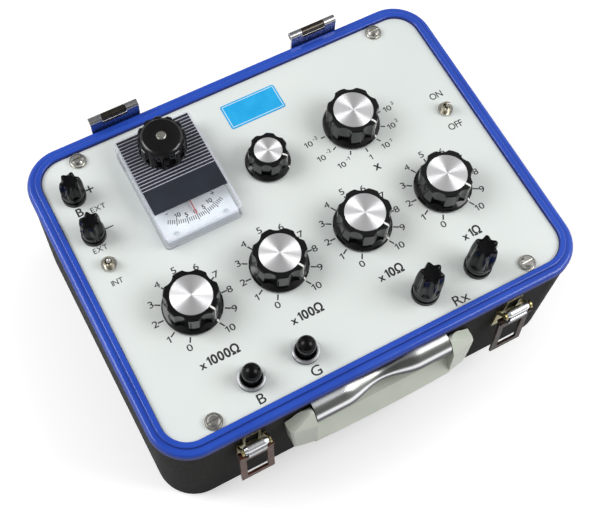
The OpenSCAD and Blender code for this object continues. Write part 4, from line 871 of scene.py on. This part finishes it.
def sky():
    """Soft fill from the left and right of the view, dim in front, behind and overhead."""
    world = bpy.data.worlds.new("studio")
    world.use_nodes = True
    tree = world.node_tree
    toward = add_node(tree, "TexCoord").outputs["Generated"]
    near = {}
    for i, lobe in enumerate(SKY_LOBES):
        along = add_node(tree, "VectorMath", {0: toward, 1: Vector(lobe).normalized()},
                         operation="DOT_PRODUCT")
        near[i] = along.outputs["Value"]
    nearest = add_node(tree, "Math", near, operation="MAXIMUM")
    ramp = add_node(tree, "ValToRGB", {"Fac": nearest.outputs["Value"]})
    set_stops(ramp.color_ramp, [(place, grey(level)) for place, level in SKY_STOPS])
    tree.links.new(ramp.outputs["Color"], tree.nodes["Background"].inputs["Color"])
    bpy.context.scene.world = world


def softbox(name, offset):
    """A square area lamp aimed at the panel."""
    data = bpy.data.lights.new(name, "AREA")
    data.size = LAMP_SIZE
    data.energy = LAMP_POWER
    lamp = bpy.data.objects.new(name, data)
    lamp.location = TARGET + offset
    lamp.rotation_mode = "QUATERNION"
    lamp.rotation_quaternion = (-offset).to_track_quat("-Z", "Y")
    bpy.context.collection.objects.link(lamp)


def camera():
    """The photograph's view, fitted to the dials and screws."""
    turn, rise, roll = (math.radians(v) for v in (VIEW_TURN, VIEW_RISE, VIEW_ROLL))
    level = Vector((math.cos(turn), math.sin(turn), 0.0))
    ahead = Vector((-math.sin(turn), math.cos(turn), 0.0))
    above = Vector((0.0, 0.0, 1.0))
    steep = ahead * math.sin(rise) + above * math.cos(rise)
    back = above * math.sin(rise) - ahead * math.cos(rise)
    right = level * math.cos(roll) + steep * math.sin(roll)
    up = steep * math.cos(roll) - level * math.sin(roll)
    data = bpy.data.cameras.new("camera")
    data.lens = LENS
    data.sensor_width = SENSOR
    data.clip_start = NEAR_CLIP
    item = bpy.data.objects.new("camera", data)
    place = TARGET + back * VIEW_DISTANCE * MM
    facing = Matrix((right, up, back)).transposed().to_quaternion()
    item.matrix_world = Matrix.LocRotScale(place, facing, None)
    bpy.context.collection.objects.link(item)
    bpy.context.scene.camera = item


floor()
sky()
for name, side in (("softbox_right", 1.0), ("softbox_left", -1.0)):
    softbox(name, ASIDE * side * LAMP_AWAY + Vector((0.0, 0.0, LAMP_AWAY)))
camera()
bpy.context.scene.view_settings.view_transform = "Standard"
